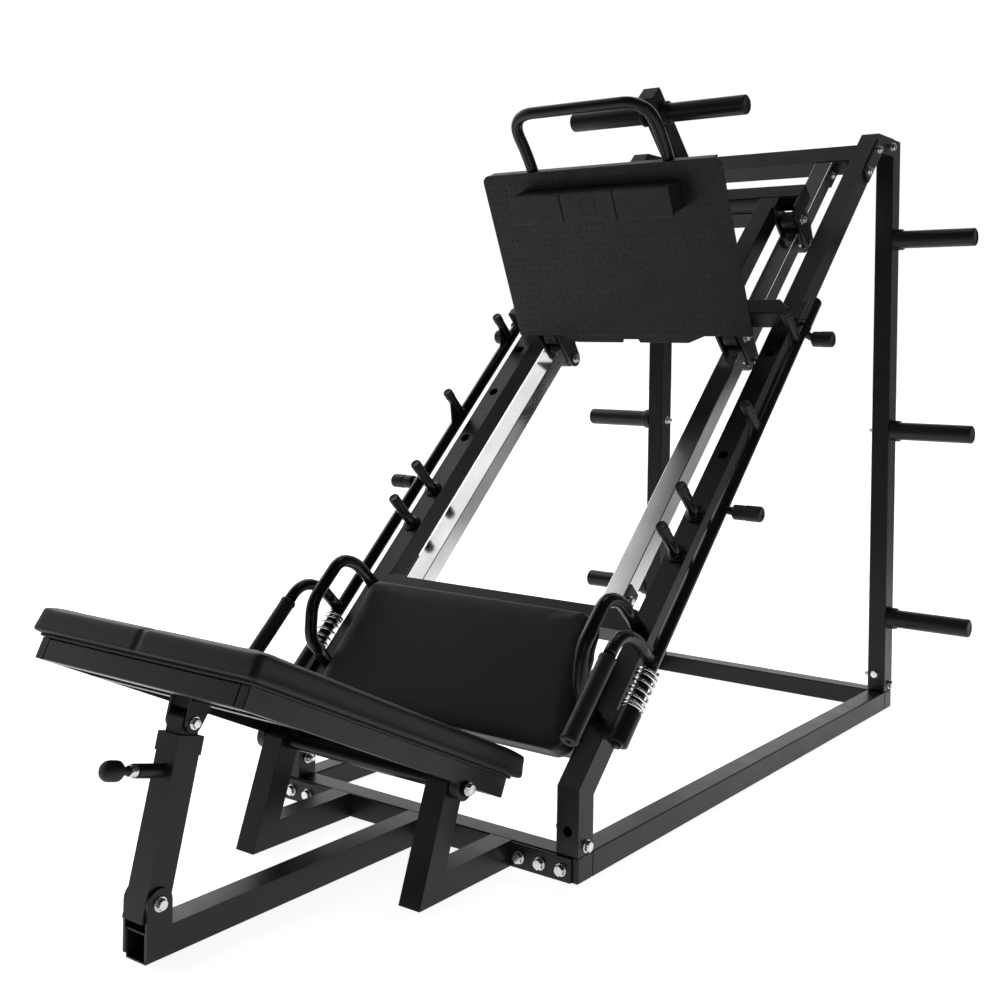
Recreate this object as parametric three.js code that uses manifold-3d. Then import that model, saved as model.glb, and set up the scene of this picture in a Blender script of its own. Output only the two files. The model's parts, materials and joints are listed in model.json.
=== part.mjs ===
// A plate-loaded 45 degree leg press. Millimetres, +Z up, +Y from the head end towards the rear uprights,
// +X to the user's right. The floor is z = 0.
import * as THREE from 'three';
import { mergeVertices } from 'three/addons/utils/BufferGeometryUtils.js';
import Module from 'manifold-3d';

const wasm = await Module();
wasm.setup();

// ---------------------------------------------------------------- driving dimensions
const GAP = 0.3; // between pieces that rest on each other or are welded together
const FIT = 0.5; // radial play of a round piece that turns or slides in another
const TUBE = 50; // section of the square frame tube
const HALF_TUBE = TUBE / 2;

const FRAME_HALF_WIDTH = 395;
const FRAME_LENGTH = 1600;
const FRAME_HEIGHT = 1615;
const RAIL_BASE_Z = 178; // height at which the vertical feet bend into the incline
const RAIL_ANGLE = Math.PI / 4;
const INNER_FACE = FRAME_HALF_WIDTH - TUBE;
const TUBE_CENTRE_X = FRAME_HALF_WIDTH - HALF_TUBE;

const PEG_RADIUS = 25;
const PEG_END_X = 623;
const PEG_HEIGHTS = [257, 789, 1332];

const GUIDE_X = [243, 293];
const GUIDE_N = [-42, -2];
const FOOT_CROSS_S = 352;
const TOP_CROSS_S = 1920;
const TOP_CROSS_WIDTH = 66;

const ROD_X = 428;
const ROD_RADIUS = 14;
const ROD_S = [120, 1350];
const CATCH_S = [918, 1205];
const CATCH_LENGTH = 88;
const RELEASE_N = 145;
const LEVERS = [
  { s: 688, n: -8, radius: 17, stemEnd: 455, tip: 520 },
  { s: 1240, n: -25, radius: 19, stemEnd: 452, tip: 502 },
];
const STOP_PIN_S = [555, 665];
const STOP_PIN_X = 372;
const OPEN_HOLES_S = [840, 1005, 1165];

const SLED_N = [21, 71];
const SLED_BAR_S = 1230;
const SLED_BAR_HALF = 412;
const SLED_SIDE_X = [184, 234];
const SLED_TOP_S = 1680;
const SLED_TOP_HALF = 300;
const ROLLER_RADIUS = 22;
const ROLLER_X = [250, 286];
const ROLLER_S = [1199, 1643];
const AXLE_RADIUS = 8;
const CARRIAGE_PLATES = [[234.6, 241.6], [294.4, 301.4]];
const CARRIAGE_N = [-86, 71];

const PLATE_LOW = { s: 1167.5, n: 51.7 };
const PLATE_LENGTH = 442;
const PLATE_THICKNESS = 6;
const PLATE_HALF_WIDTH = 344;
const FLANGE_DEPTH = 28; // of the plate's folded top edge
const LIP_DROP = 19; // of the strip below the plate's lower edge
const LIP_HALF_WIDTH = 215;
const PLATE_LEAN = Math.atan2(0.361, 0.932); // from the rail's normal towards the rear

const BACK_PIVOT = { y: -175, z: 200 };
const BACK_SLOPE = THREE.MathUtils.degToRad(25.2);
const PAD_HALF_WIDTH = 285;
const SUPPORT_X = [190, 240];
const SUPPORT_LEAN = THREE.MathUtils.degToRad(19);
const SHAFT_RADIUS = 12.5;

const POST_BASE = { y: -667, z: 93 };
const POST_LEAN = THREE.MathUtils.degToRad(13.6);
const POST_LENGTH = 285; // from the lower pivot to the upper one, at rest
const PIN_U = 203; // height of the locking pin up the post

const SEAT_SLOPE = THREE.MathUtils.degToRad(57);
const SEAT_LENGTH = 283;
const SEAT_THICKNESS = 50;

// ---------------------------------------------------------------- materials
const coat = new THREE.MeshStandardMaterial({ color: 0x1a1b1e, roughness: 0.45, metalness: 0.35 });
const gloss = new THREE.MeshStandardMaterial({ color: 0x101114, roughness: 0.22, metalness: 0.4 });
const chrome = new THREE.MeshStandardMaterial({ color: 0xd5d8dc, roughness: 0.1, metalness: 1.0 });
const steel = new THREE.MeshStandardMaterial({ color: 0xb4b6ba, roughness: 0.3, metalness: 0.9 });
const vinyl = new THREE.MeshStandardMaterial({ color: 0x17181b, roughness: 0.5, metalness: 0.0 });
const rubber = new THREE.MeshStandardMaterial({ color: 0x141416, roughness: 0.7, metalness: 0.0 });
const board = new THREE.MeshStandardMaterial({ color: 0x242220, roughness: 0.8, metalness: 0.0 });
const nylon = new THREE.MeshStandardMaterial({ color: 0x202124, roughness: 0.5, metalness: 0.0 });

// ---------------------------------------------------------------- geometry helpers
function toSolid(geometry) {
  const bare = geometry.clone();
  bare.deleteAttribute('normal');
  bare.deleteAttribute('uv');
  const merged = mergeVertices(bare, 1e-4);
  return new wasm.Manifold(new wasm.Mesh({
    numProp: 3,
    vertProperties: new Float32Array(merged.attributes.position.array),
    triVerts: new Uint32Array(merged.index.array),
  }));
}

function toGeometry(solid) {
  const mesh = solid.getMesh();
  const geometry = new THREE.BufferGeometry();
  geometry.setAttribute('position', new THREE.BufferAttribute(mesh.vertProperties, 3));
  geometry.setIndex(new THREE.BufferAttribute(mesh.triVerts, 1));
  geometry.computeVertexNormals();
  return geometry;
}

function join(...geometries) {
  const solids = geometries.map(toSolid);
  return toGeometry(solids.reduce((whole, next) => whole.add(next)));
}

function cut(geometry, ...tools) {
  const solids = tools.map(toSolid);
  return toGeometry(solids.reduce((whole, next) => whole.subtract(next), toSolid(geometry)));
}

function block(x, y, z) {
  const geometry = new THREE.BoxGeometry(x[1] - x[0], y[1] - y[0], z[1] - z[0]);
  return geometry.translate((x[0] + x[1]) / 2, (y[0] + y[1]) / 2, (z[0] + z[1]) / 2);
}

// A round bar from one point to another.
function bar(from, to, radius, sides = 18) {
  const start = new THREE.Vector3(...from);
  const along = new THREE.Vector3(...to).sub(start);
  const geometry = new THREE.CylinderGeometry(radius, radius, along.length(), sides);
  geometry.translate(0, along.length() / 2, 0);
  const turn = new THREE.Quaternion().setFromUnitVectors(new THREE.Vector3(0, 1, 0), along.clone().normalize());
  return geometry.applyQuaternion(turn).translate(...from);
}

// A turned piece about the line through `from` along `direction`; the profile is [radius, distance] pairs.
function turned(profile, from, direction, sides = 18) {
  const points = profile.map(([radius, distance]) => new THREE.Vector2(radius, distance));
  const geometry = new THREE.LatheGeometry(points, sides);
  const turn = new THREE.Quaternion().setFromUnitVectors(
    new THREE.Vector3(0, 1, 0), new THREE.Vector3(...direction).normalize());
  return geometry.applyQuaternion(turn).translate(...from);
}

// A flat outline of [y, z] points, thick along x.
function slab(outline, x) {
  const shape = new THREE.Shape(outline.map(([a, b]) => new THREE.Vector2(a, b)));
  const geometry = new THREE.ExtrudeGeometry(shape, { depth: x[1] - x[0], bevelEnabled: false });
  const turn = new THREE.Matrix4().makeBasis(
    new THREE.Vector3(0, 1, 0), new THREE.Vector3(0, 0, 1), new THREE.Vector3(1, 0, 0));
  return geometry.applyMatrix4(turn).translate(x[0], 0, 0);
}

function arc(centre, radius, from, to, steps = 10) {
  return Array.from({ length: steps + 1 }, (_, i) => {
    const angle = from + (to - from) * i / steps;
    return [centre[0] + radius * Math.cos(angle), centre[1] + radius * Math.sin(angle)];
  });
}

// A round tube along straight runs between corner points, each corner rounded over `bend`.
function bentTube(corners, bend, radius, steps = 22, sides = 12) {
  const points = corners.map((corner) => new THREE.Vector3(...corner));
  const path = new THREE.CurvePath();
  let last = points[0];
  for (let i = 1; i < points.length - 1; i += 1) {
    const before = points[i].clone().add(points[i - 1].clone().sub(points[i]).setLength(bend));
    const after = points[i].clone().add(points[i + 1].clone().sub(points[i]).setLength(bend));
    path.add(new THREE.LineCurve3(last, before));
    path.add(new THREE.QuadraticBezierCurve3(before, points[i], after));
    last = after;
  }
  path.add(new THREE.LineCurve3(last, points[points.length - 1]));
  const section = new THREE.Shape(
    Array.from({ length: sides }, (_, i) => {
      const angle = 2 * Math.PI * i / sides;
      return new THREE.Vector2(radius * Math.cos(angle), radius * Math.sin(angle));
    }));
  return new THREE.ExtrudeGeometry(section, { steps, extrudePath: path });
}

// The same shape on the other side of the middle plane, still facing outwards.
function mirrored(geometry) {
  return toGeometry(toSolid(geometry).mirror([1, 0, 0]));
}

function piece(parent, name, geometry, material) {
  const mesh = new THREE.Mesh(geometry, material);
  mesh.name = name;
  parent.add(mesh);
}

function pair(parent, name, geometry, material) {
  piece(parent, `${name}_right`, geometry, material);
  piece(parent, `${name}_left`, mirrored(geometry), material);
}

// ---------------------------------------------------------------- the frames that pieces are placed in
const machine = new THREE.Group();

// The rail frame: x across, y = s up the incline, z = n out from it towards the user.
const rail = new THREE.Group();
rail.position.set(0, 0, RAIL_BASE_Z);
rail.rotation.x = RAIL_ANGLE;
machine.add(rail);

// The backrest frame: y from its pivot down towards the seat, z out of the cushion.
const back = new THREE.Group();
back.position.set(0, BACK_PIVOT.y, BACK_PIVOT.z);
back.rotation.x = -BACK_SLOPE;
machine.add(back);

// The adjusting post's frame: z up the post from its lower pivot.
const post = new THREE.Group();
post.position.set(0, POST_BASE.y, POST_BASE.z);
post.rotation.x = -POST_LEAN;
machine.add(post);

// The seat frame: y up the seat, z out of its cushion; its origin is the lower back edge of the cushion.
const seat = new THREE.Group();
seat.position.set(0, 62, 203.8);
seat.rotation.x = SEAT_SLOPE;
machine.add(seat);

// A [y, z] of the machine as [s, n] of the rail frame.
function toRail(y, z) {
  const rise = z - RAIL_BASE_Z;
  return [(y + rise) * Math.SQRT1_2, (rise - y) * Math.SQRT1_2];
}

// ---------------------------------------------------------------- base
function addBase() {
  const full = [-FRAME_HALF_WIDTH, FRAME_HALF_WIDTH];
  piece(machine, 'base_front_cross', block(full, [0, TUBE], [0, TUBE]), coat);
  piece(machine, 'base_rear_cross', block(full, [FRAME_LENGTH - TUBE, FRAME_LENGTH], [0, TUBE]), coat);
  const sideY = [TUBE + GAP, FRAME_LENGTH - TUBE - GAP];
  pair(machine, 'base_side', block([INNER_FACE, FRAME_HALF_WIDTH], sideY, [0, TUBE]), coat);
}

// ---------------------------------------------------------------- incline tubes, with the lock rod's two bearings
const BEARING_S = [1264, 1345];
const BEARING_RADIUS = 18;
const HOUSING_S = [108, 178];
const HOUSING_RADIUS = 22;
const HOUSING_FLOOR = 8;
const PIN_HOLE_RADIUS = 12.5;
const PIN_HOLE_DEPTH = 36;

function onRail(geometry) {
  return geometry.clone().rotateX(RAIL_ANGLE).translate(0, 0, RAIL_BASE_Z);
}

function addInclines() {
  const topFront = FRAME_HEIGHT - RAIL_BASE_Z;
  const across = TUBE * Math.SQRT2;
  const bridgeZ = FRAME_HEIGHT - TUBE;
  const x = [INNER_FACE, FRAME_HALF_WIDTH];
  const outline = [
    [0, TUBE + GAP], [TUBE, TUBE + GAP], [TUBE, TUBE + RAIL_BASE_Z - across],
    [bridgeZ - RAIL_BASE_Z + across, bridgeZ], [FRAME_LENGTH - TUBE - GAP, bridgeZ],
    [FRAME_LENGTH - TUBE - GAP, FRAME_HEIGHT], [topFront, FRAME_HEIGHT], [0, RAIL_BASE_Z],
  ];
  const sleeve = bar([ROD_X, BEARING_S[0], 0], [ROD_X, BEARING_S[1], 0], BEARING_RADIUS);
  const sleeveFoot = block([FRAME_HALF_WIDTH - 1, ROD_X], [BEARING_S[0] + 10, BEARING_S[1] - 10], [-12, 12]);
  const housing = bar([ROD_X, HOUSING_S[0], 0], [ROD_X, HOUSING_S[1], 0], HOUSING_RADIUS);
  const housingFoot = block([FRAME_HALF_WIDTH - 1, ROD_X], [HOUSING_S[0] + 8, HOUSING_S[1] - 8], [-12, 12]);
  const rodRoom = bar([ROD_X, HOUSING_S[0] + HOUSING_FLOOR, 0], [ROD_X, BEARING_S[1] + 10, 0], ROD_RADIUS + FIT);
  const holes = [...STOP_PIN_S, ...OPEN_HOLES_S].map((s) =>
    bar([STOP_PIN_X, s, -PIN_HOLE_DEPTH], [STOP_PIN_X, s, 10], PIN_HOLE_RADIUS, 12));
  const footHole = bar([TUBE_CENTRE_X, -1, 95], [TUBE_CENTRE_X, 30, 95], 10, 16);
  const tube = join(slab(outline, x), ...[sleeve, sleeveFoot, housing, housingFoot].map(onRail));
  pair(machine, 'incline_tube', cut(tube, onRail(rodRoom), ...holes.map(onRail), footHole), coat);
}

// ---------------------------------------------------------------- rear uprights with their storage pegs
function addUprights() {
  const y = [FRAME_LENGTH - TUBE, FRAME_LENGTH];
  const column = block([INNER_FACE, FRAME_HALF_WIDTH], y, [TUBE + GAP, FRAME_HEIGHT]);
  const reach = PEG_END_X - FRAME_HALF_WIDTH;
  const profile = [
    [0, -2], [30, -2], [30, 22], [PEG_RADIUS, 27], [PEG_RADIUS, reach - 6], [PEG_RADIUS - 6, reach], [0, reach],
  ];
  const pegs = PEG_HEIGHTS.map((z) =>
    turned(profile, [FRAME_HALF_WIDTH, FRAME_LENGTH - HALF_TUBE, z], [1, 0, 0]));
  pair(machine, 'rear_upright', join(column, ...pegs), coat);
}

// ---------------------------------------------------------------- guide rails and the two tubes that carry them
const ANGLE_THICKNESS = 6;
const ANGLE_LENGTH = 66;

// The angle bracket that bolts one end of a guide rail to a cross tube; `inward` is +1 up the incline.
function railAngle(faceS, inward) {
  const span = (from, to) => [Math.min(from, to), Math.max(from, to)];
  const sideX = GUIDE_X[1] + GAP;
  const side = block([sideX, sideX + ANGLE_THICKNESS], span(faceS - inward, faceS + inward * ANGLE_LENGTH), GUIDE_N);
  const flange = block([sideX, INNER_FACE - 8], span(faceS - inward, faceS + inward * ANGLE_THICKNESS), GUIDE_N);
  return join(side, flange);
}

function addGuides() {
  const inside = [-INNER_FACE + GAP, INNER_FACE - GAP];
  const footFace = FOOT_CROSS_S + TUBE;
  const footAngle = railAngle(footFace, 1);
  const footCross = block(inside, [FOOT_CROSS_S, footFace], [-TUBE, 0]);
  piece(rail, 'rail_foot_cross', join(footCross, footAngle, mirrored(footAngle)), coat);
  const topAngle = railAngle(TOP_CROSS_S, -1);
  const topCross = block(inside, [TOP_CROSS_S, TOP_CROSS_S + TOP_CROSS_WIDTH], [-TUBE, 0]);
  piece(rail, 'top_rear_cross', join(topCross, topAngle, mirrored(topAngle)), coat);
  pair(rail, 'guide_rail', block(GUIDE_X, [footFace + GAP, TOP_CROSS_S - GAP], GUIDE_N), chrome);
}

// ---------------------------------------------------------------- backrest supports and the centre spine
function addSpineAndSupports() {
  const up = [Math.sin(SUPPORT_LEAN), Math.cos(SUPPORT_LEAN)];
  const pivot = [BACK_PIVOT.y, BACK_PIVOT.z];
  const head = arc(pivot, HALF_TUBE, -SUPPORT_LEAN, Math.PI - SUPPORT_LEAN);
  const down = (point, z) => [point[0] - up[0] / up[1] * (point[1] - z), z];
  const outline = [
    down(head[head.length - 1], 0), [-GAP, 0], [-GAP, TUBE], down(head[0], TUBE), ...head,
  ];
  const hole = bar([100, ...pivot], [300, ...pivot], SHAFT_RADIUS + FIT);
  pair(machine, 'back_support', cut(slab(outline, SUPPORT_X), hole), coat);

  const spineY = [-690, -GAP];
  const wall = 3;
  const spine = block([-HALF_TUBE, HALF_TUBE], spineY, [0, TUBE]);
  const mouth = block([-HALF_TUBE + wall, HALF_TUBE - wall], [-700, -600], [wall, TUBE - wall]);
  const base = [POST_BASE.y, POST_BASE.z];
  const earOutline = [[base[0] - 25, 8], [base[0] + 25, 8], [base[0] + 25, base[1]],
    ...arc(base, 25, 0, Math.PI).slice(1)];
  const ear = slab(earOutline, [HALF_TUBE - 1, HALF_TUBE + 6]);
  const slot = block([-HALF_TUBE - FIT, HALF_TUBE + FIT], [-720, -600], [TUBE, 130]);
  const bolt = bar([-HALF_TUBE - 2, ...base], [HALF_TUBE + 2, ...base], 6, 16);
  const body = cut(join(spine, ear, mirrored(ear)), mouth, slot);
  piece(machine, 'centre_spine', join(body, bolt), coat);
}

// ---------------------------------------------------------------- seat
function addSeat() {
  const boardBack = (s) => -36.5 + 0.2125 * (s - 65);
  const lowCross = block([-INNER_FACE + GAP, INNER_FACE - GAP], [95, 95 + TUBE], [-83, -33]);
  const strutEnd = FOOT_CROSS_S - GAP;
  const strutOutline = [[112, -35], [144, -35], [144, -62], [strutEnd, -45],
    [strutEnd, boardBack(strutEnd)], [112, boardBack(112)]];
  const strut = slab(strutOutline, [110, 150]);
  const backing = block([-282, 282], [14, 262], [-12 - GAP, -GAP]).rotateX(SEAT_SLOPE - RAIL_ANGLE);
  backing.translate(0, ...toRail(seat.position.y, seat.position.z));
  piece(rail, 'seat_frame', join(lowCross, strut, mirrored(strut), backing), coat);

  const top = 306;
  const bottom = 336;
  const corner = 34;
  const right = [
    ...arc([bottom - corner, corner], corner, -Math.PI / 2, 0, 5),
    ...arc([top - corner, SEAT_LENGTH - corner], corner, 0, Math.PI / 2, 5),
  ];
  const left = right.map(([x, y]) => [-x, y]).reverse();
  const shape = new THREE.Shape([...right, ...left].map(([x, y]) => new THREE.Vector2(x, y)));
  piece(seat, 'seat_pad', new THREE.ExtrudeGeometry(shape, { depth: SEAT_THICKNESS, bevelEnabled: false }), vinyl);
}

// ---------------------------------------------------------------- grab handles beside the seat
function addGrabHandles() {
  const x = 362;
  const low = 146;
  const high = 362;
  const topN = 142;
  const corners = [[x, high, GAP], [x, high - 2, 95], [x, high - 30, topN], [x, low + 66, topN],
    [x, low + 4, 88], [x, low, GAP]];
  const tube = bentTube(corners, 26, 14);
  pair(rail, 'grab_handle', cut(tube, block([x - 40, x + 40], [0, 500], [-40, GAP])), gloss);
}

// ---------------------------------------------------------------- lock rods: catches, levers, release handles, springs
const SPRING_S = [HOUSING_S[1] + 2, 271];
const SPRING_RADIUS = 24;

function addLockRods() {
  const shaft = bar([ROD_X, ROD_S[0], 0], [ROD_X, ROD_S[1], 0], ROD_RADIUS);
  const collar = bar([ROD_X, BEARING_S[0] - 13, 0], [ROD_X, BEARING_S[0] - 3, 0], 19);
  const catches = CATCH_S.map((s) => bar([ROD_X, s, 0], [ROD_X, s, CATCH_LENGTH], 12.5));
  const gussets = CATCH_S.map((s) =>
    slab([[s - 44, 10], [s, 10], [s, 56], [s - 12, 56]], [ROD_X - 3, ROD_X + 3]));
  const stems = LEVERS.map((lever) =>
    bar([ROD_X, lever.s, 0], [lever.stemEnd + 4, lever.s, lever.n], 9, 12));
  const grips = LEVERS.map((lever) => turned(
    [[0, 0], [lever.radius - 3, 0], [lever.radius, 3], [lever.radius, lever.tip - lever.stemEnd - 4],
      [lever.radius - 4, lever.tip - lever.stemEnd], [0, lever.tip - lever.stemEnd]],
    [lever.stemEnd, lever.s, lever.n], [1, 0, 0], 16));
  const releaseCorners = [[ROD_X, 287, 0], [ROD_X, 287, 95], [ROD_X, 240, RELEASE_N], [ROD_X, 204, RELEASE_N]];
  const release = bentTube(releaseCorners, 34, 13, 12);
  pair(rail, 'lock_rod', join(shaft, collar, ...catches, ...gussets, ...stems, ...grips, release), gloss);

  const gripFrom = [ROD_X, 203.7, RELEASE_N];
  const gripLength = 184;
  const gripProfile = [[0, 0], [15, 0], [18, 3], [18, gripLength - 6], [15, gripLength], [0, gripLength]];
  pair(rail, 'release_grip', turned(gripProfile, gripFrom, [0, -1, 0]), rubber);

  const inner = ROD_RADIUS + 1.5;
  const length = SPRING_S[1] - SPRING_S[0];
  const springProfile = [[inner, 0], [SPRING_RADIUS, 0], [SPRING_RADIUS, length], [inner, length], [inner, 0]];
  pair(rail, 'lock_spring', turned(springProfile, [ROD_X, SPRING_S[0], 0], [0, 1, 0]), chrome);
}

// ---------------------------------------------------------------- stop pins that set the lowest sled position
function addStopPins() {
  const shank = PIN_HOLE_RADIUS - FIT;
  const profile = [[0, -30], [shank, -30], [shank, GAP], [22, GAP], [22, 5], [13, 6], [13, 92], [10, 98], [0, 98]];
  const heights = ['low', 'high'];
  STOP_PIN_S.forEach((s, i) => {
    pair(rail, `stop_pin_${heights[i]}`, turned(profile, [STOP_PIN_X, s, 0], [0, 0, 1]), gloss);
  });
}

// ---------------------------------------------------------------- sled
function addSledFrame() {
  const barOutline = [
    [-SLED_BAR_HALF, SLED_BAR_S], [SLED_BAR_HALF, SLED_BAR_S], [SLED_BAR_HALF, SLED_BAR_S + 20],
    [SLED_BAR_HALF - 30, SLED_BAR_S + TUBE], [-SLED_BAR_HALF + 30, SLED_BAR_S + TUBE],
    [-SLED_BAR_HALF, SLED_BAR_S + 20],
  ];
  const barShape = new THREE.Shape(barOutline.map(([x, s]) => new THREE.Vector2(x, s)));
  const lowerBar = new THREE.ExtrudeGeometry(barShape, { depth: TUBE, bevelEnabled: false });
  piece(rail, 'sled_lower_bar', lowerBar.translate(0, 0, SLED_N[0]), coat);
  const topS = [SLED_TOP_S, SLED_TOP_S + TUBE];
  piece(rail, 'sled_top_cross', block([-SLED_TOP_HALF, SLED_TOP_HALF], topS, SLED_N), coat);
  const sideS = [SLED_BAR_S + TUBE + GAP, SLED_TOP_S - GAP];
  pair(rail, 'sled_side', block(SLED_SIDE_X, sideS, SLED_N), coat);
}

const AXLE_N = [GUIDE_N[1] + FIT + ROLLER_RADIUS, GUIDE_N[0] - FIT - ROLLER_RADIUS];

function addCarriages() {
  const names = ['low', 'high'];
  const ends = [SLED_BAR_S - GAP, SLED_TOP_S - GAP];
  ROLLER_S.forEach((s, i) => {
    const lug = AXLE_N[1] - CARRIAGE_N[0]; // radius of the plate's round lower end
    const front = s - lug;
    const outline = [...arc([s, AXLE_N[1]], lug, Math.PI, 2 * Math.PI, 8), [ends[i], AXLE_N[1] + 40],
      [ends[i], CARRIAGE_N[1]], [front + 14, CARRIAGE_N[1]], [front, 40]];
    const plates = CARRIAGE_PLATES.map((x) => slab(outline, x));
    const reach = [CARRIAGE_PLATES[0][0] + 1, CARRIAGE_PLATES[1][1] - 1];
    const axles = AXLE_N.map((n) => bar([reach[0], s, n], [reach[1], s, n], AXLE_RADIUS, 16));
    pair(rail, `carriage_${names[i]}`, join(...plates, ...axles), coat);
    AXLE_N.forEach((n, j) => {
      const width = ROLLER_X[1] - ROLLER_X[0];
      const bore = AXLE_RADIUS + FIT;
      const profile = [[bore, 0], [ROLLER_RADIUS, 0], [ROLLER_RADIUS, width], [bore, width], [bore, 0]];
      const side = ['top', 'under'][j];
      pair(rail, `roller_${names[i]}_${side}`, turned(profile, [ROLLER_X[0], s, n], [1, 0, 0], 24), nylon);
    });
  });
}

// Along the foot plate: `up` from its lower edge, `out` from its front face towards the user.
function platePoint(up, out) {
  const sine = Math.sin(PLATE_LEAN);
  const cosine = Math.cos(PLATE_LEAN);
  return [PLATE_LOW.s + up * sine - out * cosine, PLATE_LOW.n + up * cosine + out * sine];
}

function addFootPlate() {
  const half = PLATE_HALF_WIDTH;
  const thick = PLATE_THICKNESS;
  const sheet = slab([platePoint(0, 0), platePoint(PLATE_LENGTH, 0), platePoint(PLATE_LENGTH, -thick),
    platePoint(0, -thick)], [-half, half]);
  const lip = slab([platePoint(5, -2), platePoint(5, -thick), platePoint(-LIP_DROP, -thick), platePoint(-LIP_DROP, -2)],
    [-LIP_HALF_WIDTH, LIP_HALF_WIDTH]);
  const flange = slab([platePoint(PLATE_LENGTH - thick, 0), platePoint(PLATE_LENGTH, 0),
    platePoint(PLATE_LENGTH, -FLANGE_DEPTH), platePoint(PLATE_LENGTH - thick, -FLANGE_DEPTH)], [-half, half]);
  piece(rail, 'foot_plate', join(sheet, lip, flange), coat);

  const blockUp = [326, 398];
  const depth = 62;
  piece(rail, 'calf_block', slab([platePoint(blockUp[0], GAP), platePoint(blockUp[1], GAP),
    platePoint(blockUp[1], depth), platePoint(blockUp[0], depth)], [-230, 230]), rubber);
}

// The stand behind the plate: the mast with its weight horns, the brace and the plate's two bearers.
function addSledStand() {
  const mastS = [SLED_TOP_S - GAP - TUBE, SLED_TOP_S - GAP];
  const hornS = mastS[0] + HALF_TUBE;
  const hornN = 380;
  const mast = block([-HALF_TUBE, HALF_TUBE], mastS, [SLED_N[0] + 2, 445]);
  const spreader = block([-SLED_SIDE_X[0] + GAP, SLED_SIDE_X[0] - GAP], [1618, SLED_TOP_S - GAP], SLED_N);
  const horn = bar([-260, hornS, hornN], [260, hornS, hornN], PEG_RADIUS);
  const collars = [-1, 1].map((side) =>
    bar([side * 24, hornS, hornN], [side * 38, hornS, hornN], 31));
  const behind = -PLATE_THICKNESS - GAP;
  const braceTop = platePoint(330, behind);
  const braceLow = platePoint(275, behind);
  const brace = slab([braceLow, [mastS[0] + 4, 170], [mastS[0] + 4, 225], braceTop], [-HALF_TUBE, HALF_TUBE]);
  piece(rail, 'sled_stand', join(mast, spreader, horn, ...collars, brace), coat);
}

function addSledHandle() {
  const legX = 197;
  const radius = 14.5;
  const behind = -PLATE_THICKNESS - radius - 5;
  const base = platePoint(PLATE_LENGTH - 80, behind);
  const knee = platePoint(PLATE_LENGTH + 12, behind);
  const top = [1363, 613];
  const corners = [[-legX, ...base], [-legX, ...knee], [-legX, ...top], [legX, ...top], [legX, ...knee],
    [legX, ...base]];
  const tube = bentTube(corners, 70, radius, 34);
  const flange = slab([platePoint(PLATE_LENGTH - PLATE_THICKNESS - GAP, 1), platePoint(PLATE_LENGTH + GAP, 1),
    platePoint(PLATE_LENGTH + GAP, -FLANGE_DEPTH - GAP),
    platePoint(PLATE_LENGTH - PLATE_THICKNESS - GAP, -FLANGE_DEPTH - GAP)], [-400, 400]);
  piece(rail, 'sled_handle', cut(tube, flange), gloss);
}

// ---------------------------------------------------------------- backrest
const BACK_RAIL_X = [243, 263];
const BACK_RAIL_Y = [-590, 120];
const BACK_RAIL_Z = [4, 41];
const BACK_BOARD_Z = 46;
const BACK_PAD_Y = [-612, 152];
const BACK_PAD_THICKNESS = 50;
const PIVOT_LUG_RADIUS = 24;

function addBackrest() {
  const shaftReach = 270;
  const shaft = bar([-shaftReach, 0, 0], [shaftReach, 0, 0], SHAFT_RADIUS);
  const shaftRoom = bar([200, 0, 0], [300, 0, 0], SHAFT_RADIUS + FIT);
  piece(back, 'pivot_shaft', shaft, steel);
  const lugOutline = [...arc([0, 0], PIVOT_LUG_RADIUS, Math.PI, 2 * Math.PI), [PIVOT_LUG_RADIUS, BACK_RAIL_Z[0] + 1],
    [-PIVOT_LUG_RADIUS, BACK_RAIL_Z[0] + 1]];
  const side = join(block(BACK_RAIL_X, BACK_RAIL_Y, BACK_RAIL_Z), slab(lugOutline, BACK_RAIL_X));
  pair(back, 'backrest_rail', cut(side, shaftRoom), coat);
  const inside = [-BACK_RAIL_X[0] + GAP, BACK_RAIL_X[0] - GAP];
  const headY = [BACK_RAIL_Y[0], BACK_RAIL_Y[0] + 40];
  const footY = [BACK_RAIL_Y[1] - 40, BACK_RAIL_Y[1]];
  piece(back, 'backrest_head_cross', block(inside, headY, BACK_RAIL_Z), coat);
  piece(back, 'backrest_foot_cross', block(inside, footY, BACK_RAIL_Z), coat);

  const boardX = [-BACK_RAIL_X[1], BACK_RAIL_X[1]];
  piece(back, 'backrest_board', block(boardX, [BACK_RAIL_Y[0] - 8, BACK_RAIL_Y[1] + 12], [BACK_RAIL_Z[1] + GAP, BACK_BOARD_Z]), board);

  const padBack = BACK_BOARD_Z + GAP;
  const padTop = padBack + BACK_PAD_THICKNESS;
  const rounded = 26;
  const padOutline = [
    [BACK_PAD_Y[0] + 12, padBack], [BACK_PAD_Y[1], padBack],
    ...arc([BACK_PAD_Y[1] - rounded, padTop - rounded], rounded, 0, Math.PI / 2, 5),
    ...arc([BACK_PAD_Y[0] + rounded, padTop - rounded], rounded, Math.PI / 2, Math.PI, 5),
  ];
  piece(back, 'backrest_pad', slab(padOutline, [-PAD_HALF_WIDTH, PAD_HALF_WIDTH]), vinyl);
}

// The cross tube under the backrest with the fork that takes the top of the adjusting post.
function forkCentre() {
  const dy = POST_BASE.y + POST_LENGTH * Math.sin(POST_LEAN) - BACK_PIVOT.y;
  const dz = POST_BASE.z + POST_LENGTH * Math.cos(POST_LEAN) - BACK_PIVOT.z;
  const sine = Math.sin(BACK_SLOPE);
  const cosine = Math.cos(BACK_SLOPE);
  return [dy * cosine - dz * sine, dy * sine + dz * cosine];
}

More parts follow.
